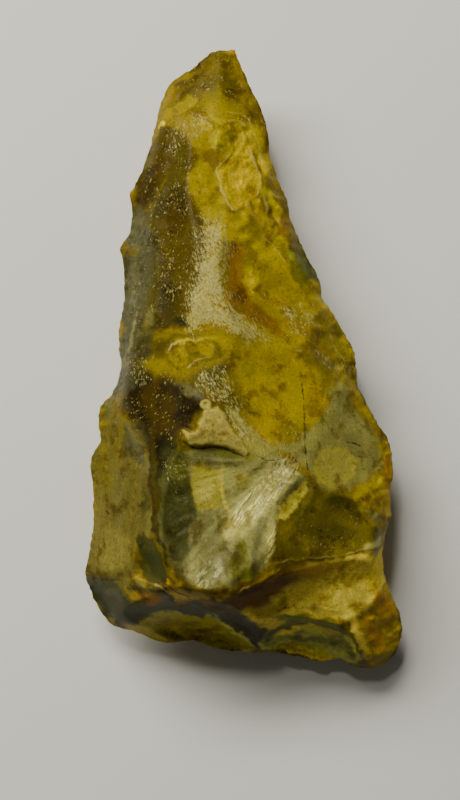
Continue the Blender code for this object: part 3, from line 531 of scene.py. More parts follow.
     (13, -68.4), (15.6, -73), (6.4, -77), (-3.4, -82.2), (-8.7, -81.6), (-15.3, -80.2), (-21.2, -80.2),
     (-24.5, -77.6)], "under_brown", 1.4, 1, 3.15), (-10.7, -80.2, -4, 11.2, 1.6, "under_brown", 1.8, 0.8, 0.2),
    (-2.1, -78.3, 20, 9.9, 2, "deep_brown", 2, 0.7, 0.3), (-15.3, -77, -8, 8.6, 0.7, "olive_brown", 0.8, 0.7, 1.7),
    (6.4, -72.4, 28, 11.2, 1, "dark_brown", 1.2, 0.7, 1.25),
    ([(-30.4, -84.2), (-25.2, -82.9), (-18.6, -83.5), (-12, -84.9), (-5.4, -87.5), (0.5, -90.8), (5.1, -94.1),
     (2.5, -95.4), (-5.4, -94.7), (-12.7, -94.1), (-19.2, -93.4), (-27.1, -91.4), (-32.4, -90.1), (-33.7, -86.8)],
     "olive", 1, 1, 3.15), (-17.9, -89.5, -12, 11.2, 2.6, "olive_brown", 2, 0.7, 1.35),
    (-9.4, -91.4, -20, 7.9, 2, "olive", 1.8, 0.7, 6), (-17.3, -90.8, -16, 5.3, 1, "ochre", 1.2, 0.6, 6),
    (-17.3, -83.5, -8, 13.2, 0.7, "warm_grey", 0.7, 0.75, 0.2),
    (-2.8, -89.5, -32, 8.6, 0.6, "warm_grey", 0.7, 0.7, 4.25),
    (-33, -89.5, -22, 6.6, 1.3, "olive_brown", 1.2, 0.9, 2.75), (-30.4, -92.1, -22, 3.3, 1, "yellow", 1, 0.7, 1.3),
    (-20.5, -93.4, -12, 7.9, 0.7, "ochre", 1, 0.6, 6), (-5.4, -95, -8, 8.6, 0.8, "warm_grey", 1, 0.6, 6),
    # painted shadow under the lip: a dark blue-black oval
    (-0.8, -85.5, -35, 8.6, 2.3, "blue_black", 2, 0.8, 0.2),
    (6.4, -91.4, -40, 5.3, 2.3, "black_brown", 1.6, 0.8, 1.85),
    # tan hollow, with painted shade under the ledge above it
    ([(16.3, -70.4), (20.9, -67.1), (28.8, -65.8), (37.3, -65.1), (43.3, -63.8), (45.9, -67.1), (47.2, -73),
     (46.6, -78.3), (43.3, -81.6), (39.3, -83.5), (35.4, -86.8), (32.1, -85.5), (24.8, -83.5), (18.9, -84.2),
     (13.7, -86.8), (8.4, -89.5), (3.1, -86.8), (-1.5, -83.5), (3.1, -79.6), (9.7, -75.6)], "tan", 2, 1, 0.85),
    # painted shade under the ledge: the deep brown oval and the dark orange oval after it
    (7.7, -76.3, 28, 11.8, 3.3, "deep_brown", 3, 0.95, 1.2), (18.9, -71, 14, 9.2, 2.6, "orange", 3.5, 0.7, 0.2),
    (26.2, -69.1, 8, 8.6, 2, "orange", 3, 0.5, 2.7), (36, -74.3, 40, 8.6, 4.6, "tan", 4, 0.9, 6),
    (31.4, -75.6, 55, 7.2, 2.3, "chalk", 3, 0.5, 6), (38.7, -79.6, 60, 5.3, 2.3, "chalk", 3, 0.5, 0.3),
    (18.9, -82.9, 8, 10.5, 2.3, "tan", 2.5, 0.8, 6), (14.3, -86.2, 24, 5.9, 1.2, "tan", 1.2, 0.9, 0.7),
    (9.1, -82.9, 10, 5.9, 2.6, "cortex", 2.5, 0.5, 0.2), (27.5, -82.9, -8, 5.9, 1.3, "tan", 1.6, 0.5, 0.2),
    (43.3, -71.7, 80, 5.9, 2, "ochre", 2.5, 0.5, 6),
    # eye-shaped scar; the black rim along its upper side is painted shadow of its steep upper wall
    ([(6.4, -92.7), (9.7, -89.5), (14.3, -86.8), (18.9, -85.5), (24.8, -86.2), (30.8, -88.1), (34.7, -90.8),
     (37.7, -94.7), (40, -98.7), (37.3, -100.6), (32.1, -98), (25.5, -96.7), (17.6, -96), (11, -96), (7.1, -95.4)],
     "green_grey", 0.9, 1, 5.4),
    # painted shadow: the black rim along the upper side
    ([(6.4, -92.7), (9.1, -89.8), (13.7, -86.8), (18.9, -85.5), (24.8, -86.2), (30.1, -87.8), (34.4, -90.4),
     (33.4, -91.1), (28.8, -89.1), (24.2, -87.5), (19.6, -87.2), (15.6, -88.5), (11.7, -90.8), (9.1, -92.7)],
     "blue_black", 0.8, 1, 6), (16.3, -88.8, 22, 5.3, 0.9, "tan", 0.8, 0.85, 2.75),
    (26.2, -89.5, -14, 6.6, 1.2, "cortex", 1, 0.8, 5), (27.5, -90.1, -20, 3.3, 0.5, "tan", 0.7, 0.7, 0.75),
    (22.9, -92.7, -4, 11.2, 1, "blue_black", 1.4, 0.5, 1.5),
    (32.1, -94.1, -42, 5.9, 1.3, "green_grey", 1.2, 0.7, 1.95),
    ([(11.7, -95.4), (15.6, -94.7), (20.9, -95.4), (26.2, -96.7), (30.8, -96.7), (28.8, -98.3), (22.9, -98.7),
     (17.6, -97.4), (13.7, -97)], "yellow", 0.8, 1, 6), (20.9, -96.7, -6, 7.2, 0.5, "black_brown", 0.8, 0.4, 1.45),
    (15.3, -89.1, 24, 4.3, 0.8, "tan", 0.7, 0.9, 2.1), (18.9, -87.5, 8, 3.9, 0.6, "cream", 0.7, 0.8, 0.3),
    (25.5, -89.5, -14, 5.9, 0.9, "tan", 0.8, 0.9, 0.7), (30.1, -90.8, -30, 3.9, 0.5, "cream", 0.7, 0.7, 1.1),
    # painted shadow along the upper rim: the thin blue-black line here and the first on the next line
    (17.6, -85.8, -4, 8.6, 0.6, "blue_black", 0.7, 0.95, 6),
    (31.4, -88.1, -32, 5.9, 0.7, "blue_black", 0.7, 0.95, 6), (22.2, -92.7, -4, 9.9, 1, "blue_black", 1.2, 0.6, 6),
    # right corner
    ([(47.2, -72.4), (49.8, -77.6), (51.8, -84.2), (52.5, -88.1), (50.5, -92.7), (47.9, -97.4), (43.9, -100),
     (40.6, -98.7), (39.3, -92.7), (37.3, -88.1), (39.3, -84.2), (43.9, -80.9)], "olive_brown", 1.4, 1, 2.2),
    (46.6, -81.6, 110, 6.6, 2.6, "orange", 2, 0.7, 1.95), (47.9, -89.5, 70, 5.9, 2.3, "ochre", 2, 0.7, 1.35),
    (43.3, -90.1, 110, 5.9, 1.6, "deep_brown", 2, 0.5, 4.45), (38.7, -90.8, -68, 8.6, 1.2, "tan", 1, 0.9, 1.3),
    (36, -96.7, -60, 3.3, 1, "yellow", 1, 0.7, 0.2), (44.6, -98, 20, 3.9, 1.3, "ochre", 1.4, 0.7, 0.7),
]
# The places are drawn as the eye sees the stone: over this x and y, 600 mm up, 572.4 mm above its middle
EYE_X, EYE_Y, EYE_HEIGHT, EYE_ABOVE_MIDDLE = -4.1, -13.8, 600.0, 572.4


def seen_from_above(px, py, pz):
    """Where a point of the stone appears when looked down on, at the scale of its middle."""
    shrink = EYE_ABOVE_MIDDLE / (EYE_HEIGHT - pz)
    return EYE_X + (px - EYE_X) * shrink, EYE_Y + (py - EYE_Y) * shrink


def oval(px, py, *shape):
    """Distance in from the border of an oval, in millimetres."""
    along, across = turned(px, py, *shape)
    return (1.0 - np.hypot(along, across)) * min(shape[-2:])


def stroke(px, py, points):
    """Distance to a line through points, in millimetres."""
    gap = np.full(px.shape, 1e3)
    for (ax, ay), (bx, by) in zip(points, points[1:]):
        share = np.clip(((px - ax) * (bx - ax) + (py - ay) * (by - ay)) / ((bx - ax) ** 2 + (by - ay) ** 2), 0, 1)
        gap = np.minimum(gap, np.hypot(px - ax - share * (bx - ax), py - ay - share * (by - ay)))
    return gap


def within(px, py, points):
    """Distance in from the border of an outline, in millimetres."""
    inside = np.zeros(px.shape, bool)
    for (ax, ay), (bx, by) in zip(points, points[1:] + points[:1]):
        crosses = (ay > py) != (by > py)
        inside ^= crosses & (px < ax + (py - ay) * (bx - ax) / (by - ay if by != ay else 1e-9))
    return stroke(px, py, points + points[:1]) * np.where(inside, 1.0, -1.0)


def inward(px, py, shape):
    """Distance in from the border of an oval or an outline."""
    return oval(px, py, *shape) if isinstance(shape, tuple) else within(px, py, shape)


def merged(px, py, rows):
    """Greatest distance in from the borders of several ovals."""
    return np.max([oval(px, py, *row) for row in rows], axis=0)


def nearest(px, py, lines):
    """Distance to the nearest of several lines."""
    return np.min([stroke(px, py, points) for points in lines], axis=0)


def linear(name, shade=1.0):
    """Linear colour of a tone with its dullness; a bright one keeps its hue."""
    *tint, dullness = TONES[name]
    light = np.array([(part / 255.0) ** 2.2 for part in tint]) * shade
    brightest = 0.92
    return np.append(light * min(1.0, brightest / light.max()), dullness)


# Battered places with frost, and how dense it gets there
FROSTED = [
    ([(-14, 48), (-10, 46.5), (-4, 43.5), (-3.4, 36), (-4.4, 24), (-2.4, 18), (3.5, 11.9), (9.6, 5.6), (9, 3.6),
     (2.5, 3.8), (-4.8, 6.9), (-10.7, 8.9), (-15, 6.4), (-18.6, 7.1), (-19.4, 13.2), (-19.6, 19.6), (-17.9, 26.2),
     (-16.5, 31.8), (-15.8, 37)], 4.6),
    ([(-21.9, 77), (-14.6, 78.6), (-11.7, 76), (-15.3, 73), (-19.2, 71.1), (-21.9, 67.8), (-23.5, 69.8)], 1),
    ([(-14.6, -4.6), (-9.4, -2.6), (-4.8, -5.9), (-3.4, -11.2), (-0.8, -16.4), (3.1, -21.7), (5.8, -27),
     (0.5, -25.6), (-3.4, -20.4), (-6.7, -15.1), (-12, -11.8), (-15.9, -9.9)], 1.5),
    ([(13.7, 16.5), (20.9, 17.8), (24.2, 13.2), (18.9, 7.3), (13.7, 7.9)], 0.7),
    ([(24.8, 2), (30.8, 0), (35.4, -4.6), (32.7, -6.6), (27.5, -2.6)], 1),
    ([(-37, -2.6), (-31.7, -2), (-29.8, -6.6), (-33, -9.9), (-37, -8.5)], 0.9),
    ([(-23.8, -34.2), (-19.2, -32.9), (-17.9, -38.1), (-21.2, -42.1), (-24.5, -40.1)], 0.9),
    ([(-2.1, -21.7), (6.4, -26.3), (13.7, -28.3), (15.6, -23.7), (18.9, -25.6), (13, -32.2), (5.1, -32.2),
     (0.5, -28.3)], 0.9),
    ([(-23.2, 65.1), (-15.3, 62.5), (-16.6, 47.1), (-20.5, 35.5), (-21.9, 19.1), (-25.2, 19.1), (-24.5, 45.4)], -1.8),
    ([(9.1, -35.5), (17.6, -35.5), (16.3, -41.4), (9.1, -40.1)], 0.6),
]
# Places with flecks
FLECKED = [
    (-24, 45, 86, 36, 9), (-29, -14, 110, 16, 10), (28, -55, 160, 15, 8), (-10, 90, 20, 14, 8), (-31, 22, 84, 14, 6),
    (2, 78, 0, 14, 5), (10, 14, 150, 14, 8), (8, -24, 0, 15, 7), (30, 2, 118, 12, 6),
]
# Dull places: cortex, the tan hollow, the butt's rim and the rough yellow zone
MATTE = [
    (-43, -46, 92, 30, 10.5), (36, -78, 70, 17, 12), (24, -84, 5, 18, 5), (34, -92, 125, 11, 5),
    (-34, -76.6, -4, 9, 4), (20, -96.8, -4, 11, 2), (0, 62, 105, 17, 9),
]
# A chalky inclusion that stands a little proud, with a round nub above it
CHALK = [
    (-12.7, -17.4), (-13.9, -21.2), (-14.9, -24), (-17, -24.6), (-19.8, -23.2), (-20.4, -23.6), (-18.7, -25.6),
    (-17.3, -29), (-14, -29.3), (-10.3, -28.6), (-6.1, -29.3), (-2.1, -30.9), (1.5, -32.2), (2.2, -30.9),
    (0.2, -27.3), (-2.5, -24.7), (-4.8, -21), (-5.7, -17.7), (-8, -16.1), (-10.7, -16.8),
]
CHALK_NUB = (-12, -15.3, 0, 1.9, 1.7)
# Places that shine, and how much; the first is the outline of the large scar
GLOSSY = [
    ([(-20.5, -32.9), (-12.7, -31.2), (2.5, -33.5), (13.7, -34.2), (18.9, -38.1), (21.6, -41.4), (18.3, -46.7),
     (14.3, -49.3), (11.7, -53.9), (9.7, -60.5), (7.7, -66.4), (3.8, -69.7), (-1.5, -73), (-9.4, -74.3),
     (-16.6, -72.4), (-21.2, -68.4), (-24.5, -62.5), (-25.8, -53.3), (-24.5, -40.1)], 0.26),
    ([(15, -52), (18.9, -47.4), (24.8, -44.7), (32.1, -45.4), (36, -49.3), (40.6, -53.9), (42.6, -58.5),
     (37.3, -61.8), (28.8, -63.8), (18.9, -63.8), (13.7, -64.5)], 0.28), ((5.5, -45.5, 46, 14, 5), 1),
    ((-10.5, -69.5, 60, 7, 4.2), 1), ((9, -62, 76, 9, 2.2), 1), ((15, -36, 20, 5, 4), 1),
    ((-35, 24, 86, 26, 5), 0.35), ((-40, -4, 84, 18, 4), 0.5), ((-36, -30, 115, 14, 3), 0.45),
    ((-14, -84.5, -10, 14, 1.4), 0.08), ((33, -30, 120, 16, 11), 0.3), ((22, -93, -6, 12, 3), 0.06),
    ((35, -62, 22, 8, 1.2), 0.8),
]
# Places where the stone is lumpy: an oval, then the height and the size of the lumps
LUMPY = [
    (0, 62, 105, 15, 8, 0.45, 2.2), (13, 45, 112, 10, 5, 0.6, 2.6), (47, -46, 88, 20, 4.5, 0.5, 2.8),
    (47, -90, 100, 12, 6, 0.5, 2.4), (-43, -46, 92, 28, 9, 0.14, 1.7), (-9, -24, -15, 10, 5, 0.2, 1.4),
    (22, -92, -6, 14, 5, 0.25, 1.8), (30, 2, 118, 14, 6, 0.35, 2.4), (-8, -77, 0, 20, 4, 0.2, 1.6),
]
# Pale fracture lines, and how far they stand up; along two lips above the butt they are painted highlights as well
PALE_LINES = [
    # rims of the rough yellow zone, and ridges that stand up by the last number
    ([(0.2, 74), (-2.1, 70.4), (-4.1, 67.8), (-8.4, 61.9), (-7.1, 55.9), (-5.1, 50), (-3.1, 48.4)], 0.45),
    ([(0.2, 74), (2.2, 69.4), (4.5, 62.5), (6.4, 56.3)], 0.4),
    ([(-3.1, 48.4), (1.5, 50), (4.8, 53.6), (6.4, 56.3)], 0.5),
    ([(1.5, 75), (3.8, 69.8), (5.8, 66.1), (8.4, 61.9), (10, 58.6)], 0.4),
    ([(-10, 79.6), (-5.1, 80.9), (-0.8, 80), (1.8, 78.3), (2.8, 75.7)], 0.25),
    ([(-6.7, 77.6), (-2.1, 78), (1.2, 76.3)], 0.2), ([(2.8, 75.7), (5.1, 69.8), (6.4, 65.1)], 0.3),
    ([(1.8, 52), (3.1, 47.4), (6.4, 43.1)], 0.5), ([(7.4, 52.6), (8.1, 48.7), (6.8, 42.8)], 0.5),
    ([(7.4, 52.6), (10, 53.6), (13.3, 51.7)], 0.4), ([(6.1, 40.5), (10, 36.9), (14.3, 31.6)], 0.3),
    ([(-9.4, 74.4), (-10.3, 71.7), (-9.4, 69.1), (-6.7, 67.8)], 0.2),
    ([(-1.5, 65.1), (-3.4, 61.2), (-3.1, 56.6)], 0.3),
    # hollow, margin and right side
    ([(-5.4, 19.8), (-1.5, 14.5), (3.1, 9.6), (7.7, 5.3)], 0.15), ([(12.7, 3.6), (16.3, 2.3), (19.3, 2.3)], 0.3),
    ([(33.4, -0.6), (30.8, 2.6), (28.8, 7.9)], 0.2),
    ([(-24.2, 1.7), (-23.2, 4.3), (-20.5, 5.3), (-16.6, 5.6), (-12.7, 5.3), (-9.7, 3.3), (-10.3, 1), (-13.3, 0),
     (-15.6, -1.3), (-17.9, -3.3)], 0.12),
    # rims of the bowl, the cortex and the butt; the lines along the lip above the tan hollow and along the large
    # scar's lower lip are partly painted highlights on the lip edges
    ([(9.7, -68.1), (15.6, -66.1), (24.8, -65.1), (33.7, -64.5), (42, -61.8)], 0.3),
    ([(-35.7, -72), (-31.4, -73.3), (-27.1, -75), (-23.8, -77.6), (-21.9, -79.9)], 0.3),
    ([(-1.5, -77), (3.1, -74.7), (8.4, -71.7), (12, -69.4)], 0.5), ([(37.3, -88.8), (39, -94.4), (41, -99)], 0.25),
    ([(8.4, -89.1), (13.7, -85.2), (18.9, -82.5), (25.5, -80.9)], 0.15),
]
# Dark lines: cracks and pits, and painted shadow lines under the chalk's step, along the upper rim of the large scar
# and under the lips above the butt
CRACKS_AND_SHADOW_LINES = [
    [(19.6, -8.5), (20.2, -13.8), (20.6, -23.7), (20.6, -28.9), (21.6, -38.1)],
    [(34.1, -27.6), (36.4, -27.9), (38.7, -28.9)], [(37.7, -32.2), (42.9, -32.9)],
    [(11.4, -83.2), (13.7, -81.9), (15.6, -81.9), (17, -80.9)],
    # painted shadow under the chalk's step, then two short cracks
    [(-19.6, -27.3), (-15.3, -29.9), (-10, -29.3), (-4.8, -30.2), (0.5, -32.5)], [(11.4, 51.3), (12, 50.3)],
    [(13.7, 43.4), (14.7, 44.4)], [(-44.9, -44.7), (-44.6, -46.7)], [(-44.9, -49.3), (-44.2, -51.3)],
    # painted shadow along the upper rim of the large scar, then painted shadow under a lip above the butt
    [(6.4, -32.9), (8.4, -33.9), (12.3, -33.2)], [(-25.2, -74.3), (-21.2, -77), (-17.3, -78.3)],
    # painted shadows under the lips above the butt
    [(3.1, -77), (6.4, -74.3), (10.4, -71)], [(-51.5, -71), (-45.5, -73), (-40.9, -72.7)],
]
# The scar above the butt hollow is the largest; the blow that struck it fell at this x and y
LARGE_SCAR = GLOSSY[0][0]
BLOW_X, BLOW_Y = 15.0, -33.0
# The tan hollow by the butt, which swells by this much over the solid's
TAN_HOLLOW, TAN_SWELL = (32, -78.5, 10, 17, 10.5), 3.0
# How far the chalk stands up, and the height and half width of the raised lines
CHALK_RISE, LINE_RISE, LINE_WIDTH = 0.7, 0.5, 0.45


def wavering(px, py, pz):
    """A point as seen from above, plainly and with the waver that keeps borders from running smooth."""
    sx, sy = seen_from_above(px, py, pz)
    wx = layered(px, py, (1.1, 5.0, 1), (0.7, 1.9, 2), (0.4, 1.0, 5), start=sx)
    wy = layered(px, py, (1.1, 5.0, 3), (0.7, 1.9, 4), (0.4, 1.0, 6), start=sy)
    return sx, sy, wx, wy


def hand_drawn(sx, sy, wx, wy):
    """Place for the pale lines, which follow only a part of the waver."""
    return 0.6 * sx + 0.4 * wx, 0.6 * sy + 0.4 * wy


def fan(sx, sy):
    """Hackles that fan out over the large scar from where it was struck, with the distance from there."""
    dx, dy = sx - BLOW_X, sy - BLOW_Y
    bearing, distance = np.arctan2(dy, dx), np.hypot(dx, dy)
    coarse = lattice(bearing * 34.0, distance / 9.0, 1.0, 71)
    return coarse + 0.5 * lattice(bearing * 70.0, distance / 6.0, 1.0, 72), distance


def raised(px, py, pz, inset):
    """Height that the chalk, the fracture rims and the lumpy places add to the upper side."""
    sx, sy, wx, wy = wavering(px, py, pz)
    nub = oval(sx, sy, *CHALK_NUB)
    chalk = np.maximum(within(sx, sy, CHALK), np.minimum(nub, 0.9 - nub))
    rise = CHALK_RISE * smooth(chalk / 0.9 + 0.5)
    line_x, line_y = hand_drawn(sx, sy, wx, wy)
    for points, height in PALE_LINES:
        rise += LINE_RISE * height * np.exp(-(stroke(line_x, line_y, points) / LINE_WIDTH) ** 2)
    for number, (*place, height, size) in enumerate(LUMPY):
        lumps = layered(px, py, (1.0, size, 60 + number), (0.5, size / 2.2, 80 + number))
        rise += height * lumps * smooth(oval(sx, sy, *place) / 2.0 + 0.5)
    # the tan hollow is shallow and swells towards its lower side
    rise += TAN_SWELL * smooth(oval(sx, sy, *TAN_HOLLOW) / TAN_HOLLOW[-1])
    # hackles over the large scar, and ripples close to where it was struck
    hackles, distance = fan(sx, sy)
    inside = smooth(within(sx, sy, LARGE_SCAR) / 4.0)
    ripples = 0.10 * np.sin(distance * 2.0 * math.pi / 2.3 + 2.0 * lattice(sx, sy, 4.0, 73))
    rise += inside * (0.10 * hackles + ripples * np.exp(-(distance / 13.0) ** 2))
    return rise * np.clip(inset / 1.2, 0.0, 1.0)


def plain(shape):
    """Colour before any patch is laid on."""
    return np.broadcast_to(linear("olive_brown"), shape + (4,)).copy()


def upper_looks(px, py, pz):
    """Colour with dullness, painted highlights and shadows among it, and frost, flecks, mattness, gloss and lines,
    for points of the upper side.
    """
    sx, sy, wx, wy = wavering(px, py, pz)
    colour = plain(px.shape)
    for *shape, tone, soft, strength, shade in PATCHES:
        shape = shape[0] if len(shape) == 1 else tuple(shape)
        mask = smooth(inward(wx, wy, shape) / soft + 0.5) * strength
        colour += (linear(tone, shade) - colour) * mask[..., None]
    # the large scar is streaked by its hackles: in its colour, partly the stone's own streaking and partly painted
    # highlight streaks, and in its shine
    hackles = fan(sx, sy)[0]
    hollow = smooth(within(sx, sy, LARGE_SCAR) / 2.0)
    colour[..., :3] *= (1.0 + 0.22 * hollow * np.clip(hackles, -1.0, 1.0))[..., None]
    glossy = np.max([smooth(inward(wx, wy, shape) / 3.0 + 0.3) * weight for shape, weight in GLOSSY], axis=0)
    glossy *= 1.0 - 0.8 * hollow * smooth(0.5 - 1.3 * hackles)
    chalk = np.maximum(within(sx + 0.5 * (wx - sx), sy + 0.5 * (wy - sy), CHALK), oval(sx, sy, *CHALK_NUB))
    colour += (linear("chalky_tan") - colour) * smooth(chalk / 0.6 + 0.5)[..., None]
    frost = np.max([np.minimum(within(wx, wy, shape), most) for shape, most in FROSTED], axis=0)
    fleck, matte = merged(wx, wy, FLECKED), np.maximum(merged(wx, wy, MATTE), chalk)
    pale = nearest(*hand_drawn(sx, sy, wx, wy), [points for points, _ in PALE_LINES])
    dark = nearest(sx, sy, CRACKS_AND_SHADOW_LINES)
    return colour, np.stack([frost, fleck, matte, glossy, pale, dark], axis=-1)


def under_looks(px, py, pz):
    """The same for points of the underside, which is stained in clouds and has one patch of cortex."""
    _, _, wx, wy = wavering(px, py, pz)
    colour = plain(px.shape)
    for tone, size, seed, level in (("ochre", 26, 21, 0.0), ("red_brown", 21, 22, 0.2), ("dark_olive", 15, 23, 0.35),
                                    ("warm_grey", 17, 24, 0.45), ("yellow", 11, 25, 0.5)):
        cloud = layered(wx, wy, (1.0, size, seed), (0.35, size / 4, seed + 20))
        mask = smooth((cloud - level) / 0.22 + 0.5)
        colour += (linear(tone) - colour) * mask[..., None] * 0.85
    matte = oval(wx, wy, 30, -52, 80, 22, 11)
    colour += (linear("cortex") - colour) * smooth(matte / 1.5 + 0.5)[..., None]
    frost = 6.0 * (lattice(wx, wy, 16, 26) - 0.6)
    fleck = 6.0 * (lattice(wx, wy, 22, 27) - 0.1)
    glossy = 0.6 * smooth(3.0 * lattice(wx, wy, 19, 29))
    no_line = np.full(px.shape, 9.0)
    return colour, np.stack([frost, fleck, matte, glossy, no_line, no_line], axis=-1)


upper += raised(x, y, upper, inset)
upper_colour, upper_fields = upper_looks(x, y, upper)
lower_colour, lower_fields = under_looks(x, y, lower)
# the upper side's looks turn over the edge and give way within 5 mm
turn_under = smooth(inset / 5.0)[..., None]
lower_colour = upper_colour * (1 - turn_under) + lower_colour * turn_under
lower_fields = upper_fields * (1 - turn_under) + lower_fields * turn_under

# The mesh: both faces on one grid, joined along the edge, fitted to the solid's box. The underside takes
# every second point of the grid, but all of them along the rim
number_up = np.arange(x.size).reshape(x.shape)
sparse = np.zeros(x.shape, bool)
sparse[2:-2:2, 2:-2:2] = True
number_down = number_up.copy()
number_down[sparse] = x.size + np.arange(sparse.sum())
points = np.concatenate([np.stack([x, y, upper], -1).reshape(-1, 3), np.stack([x, y, lower], -1)[sparse]])
colours = np.concatenate([upper_colour.reshape(-1, 4), lower_colour[sparse]])
fields = np.concatenate([upper_fields.reshape(-1, 6), lower_fields[sparse]])
low, high = (np.array(corner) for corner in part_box("hand_axe"))
middle = (points.max(0) + points.min(0)) / 2.0
scale = (high - low) / (points.max(0) - points.min(0))
points = (points - middle) * scale + (low + high) / 2.0
points[:, 2] -= points[:, 2].min() - low[2]
corners = (number_up[:-1, :-1], number_up[1:, :-1], number_up[1:, 1:], number_up[:-1, 1:])
faces = []
# the four corner quads are cut from the corner inwards, so that the two sides share no edge but the rim
cut_from = {0: 0, COLUMNS - 1: 1, (ROWS - 1) * COLUMNS: 1, ROWS * COLUMNS - 1: 0}
for number, quad in enumerate(np.stack([corner.ravel() for corner in corners], axis=-1).tolist()):
    if number in cut_from:
        a, b, c, d = quad[cut_from[number]:] + quad[:cut_from[number]]
        faces += [[a, b, c], [a, c, d]]
    else:
        faces.append(quad)
around = [(0, 0), (0, 1), (0, 2), (1, 2), (2, 2), (2, 1), (2, 0), (1, 0)]
for row in range(0, ROWS, 2):
    for column in range(0, COLUMNS, 2):
        places = [(row + down, column + across) for down, across in around]
        faces.append([int(number_down[at]) for at in places if rim[at] or at[0] % 2 == at[1] % 2 == 0])
stone_mesh = bpy.data.meshes.new("hand_axe_stone")
stone_mesh.from_pydata(points.tolist(), [], faces)
stone_mesh.validate()
tint = stone_mesh.attributes.new("stone_colour", "FLOAT_COLOR", "POINT")
tint.data.foreach_set("color", np.append(colours[:, :3], np.ones((len(colours), 1)), axis=1).ravel())
fields = np.append(fields, colours[:, 3:], axis=1)
for column, name in enumerate(("frost", "fleck", "matte", "glossy", "pale_line", "dark_line", "dullness")):
    values = stone_mesh.attributes.new(name, "FLOAT", "POINT")
    values.data.foreach_set("value", fields[:, column].copy())
for polygon in stone_mesh.polygons:
    polygon.use_smooth = True
hand_axe = bpy.data.objects.new("hand_axe_stone", stone_mesh)
bpy.context.scene.collection.objects.link(hand_axe)

# The flint's finish: glossy patina over the painted tones, with frost, flecks, pale fracture lines,
# cracks, painted shadow lines, painted highlight streaks and matte cortex
flint = bpy.data.materials.new("stained_flint")
flint.use_nodes = True
tree = flint.node_tree
tree.nodes.clear()
make, join = tree.nodes.new, tree.links.new
out = make("ShaderNodeOutputMaterial")
shell = make("ShaderNodeBsdfPrincipled")
join(shell.outputs["BSDF"], out.inputs["Surface"])
place = make("ShaderNodeTexCoord")


def grain(scale, detail, roughness=0.55, warp=0.0, turn=0.0):
    """Noise in the stone's own space; three scales draw it out along one way, turned about the upright."""
    node = make("ShaderNodeTexNoise")
    where = place.outputs["Object"]
    if isinstance(scale, tuple):
        bend = make("ShaderNodeMapping")
        bend.vector_type = "TEXTURE"
        bend.inputs["Rotation"].default_value = (0.0, 0.0, turn)
        bend.inputs["Scale"].default_value = tuple(1.0 / number for number in scale)
        join(where, bend.inputs["Vector"])
        where, scale = bend.outputs["Vector"], 1.0
    join(where, node.inputs["Vector"])
    for socket, number in (("Scale", scale), ("Detail", detail), ("Roughness", roughness), ("Distortion", warp)):
        node.inputs[socket].default_value = number
    return node.outputs["Fac"]


def field(name, output="Fac"):
    """Values painted on the mesh."""
    node = make("ShaderNodeAttribute")
    node.attribute_name = name
    return node.outputs[output]


def span(value, from_low, from_high, to_low=0.0, to_high=1.0):
    """A range of a value, eased into another."""
    node = make("ShaderNodeMapRange")
    node.interpolation_type = "SMOOTHSTEP"
    join(value, node.inputs["Value"])
    for socket, number in (("From Min", from_low), ("From Max", from_high), ("To Min", to_low), ("To Max", to_high)):
        node.inputs[socket].default_value = number
    return node.outputs["Result"]


def sums(operation, *parts):
    node = make("ShaderNodeMath")
    node.operation = operation
    for socket, value in zip(node.inputs, parts):
        if isinstance(value, (int, float)):
            socket.default_value = value
        else:
            join(value, socket)
    return node.outputs[0]


def times(a, b):
    return sums("MULTIPLY", a, b)


def stirred(value, noise, reach, middle=0.5):
    """A value pushed up and down by a noise about its middle."""
    return sums("ADD", value, times(sums("SUBTRACT", noise, middle), reach))


def lay(base, tone, mask, way="MIX"):
    """One colour over another where the mask says so."""
    node = make("ShaderNodeMix")
    node.data_type = "RGBA"
    node.blend_type = way
    join(mask, node.inputs["Factor"])
    join(base, node.inputs[6])
    if isinstance(tone, tuple):
        node.inputs[7].default_value = (*tone, 1.0)
    else:
        join(tone, node.inputs[7])
    return node.outputs[2]


def bump(height, strength, distance):
    node = make("ShaderNodeBump")
    node.inputs["Strength"].default_value = strength
    node.inputs["Distance"].default_value = distance
    join(height, node.inputs["Height"])
    return node.outputs["Normal"]


streaks = grain((1700, 700, 900), 4, 0.72, 0.4, 0.45)
coarse, medium, fine, dust = grain(160, 4, 0.6), grain(520, 4, 0.65), grain(1500, 3, 0.65), grain(3600, 2, 0.7)
frost, fleck, matte_places, glossy = field("frost"), field("fleck"), field("matte"), field("glossy")
colour = field("stone_colour", "Color")
# mottling of the stain: browner and yellower clouds, and fine dark grain
colour = lay(colour, (0.55, 0.47, 0.30), span(coarse, 0.50, 0.66), "MULTIPLY")
colour = lay(colour, (1.30, 1.25, 1.25), span(medium, 0.50, 0.68), "MULTIPLY")
colour = lay(colour, (0.62, 0.58, 0.55), span(fine, 0.52, 0.68), "MULTIPLY")
# painted highlight streaks, with darker gaps between them, along the hackles where the stone shines
hackle_grain = grain((1500, 280, 700), 3, 0.6, 0.2, -0.55)
painted_glint_places = span(glossy, 0.25, 0.8)
colour = lay(colour, (1.75, 1.75, 1.9), times(painted_glint_places, span(hackle_grain, 0.50, 0.60)), "MULTIPLY")
colour = lay(colour, (0.45, 0.45, 0.45), times(painted_glint_places, span(hackle_grain, 0.50, 0.40)), "MULTIPLY")
# frost: broken white skin in fine streaks on battered places
frost_edge = stirred(stirred(frost, streaks, 26.0, 0.52), coarse, 10.0)
frost_mask = times(span(frost_edge, -0.4, 4.6), 0.82)
frost_tone = lay(colour, (0.46, 0.415, 0.135), span(fine, 0.36, 0.58, 0.4, 1.0))
colour = lay(colour, frost_tone, frost_mask)
# flecks: small cream chips of the skin, mostly drawn out one way
chips = stirred(grain((1350, 700, 900), 2, 0.5, 0.4, -0.55), coarse, 0.25)
chip_mask = times(span(chips, 0.655, 0.70), span(fleck, -1.5, 1.5))
colour = lay(colour, (0.30, 0.27, 0.06), times(chip_mask, 0.7))
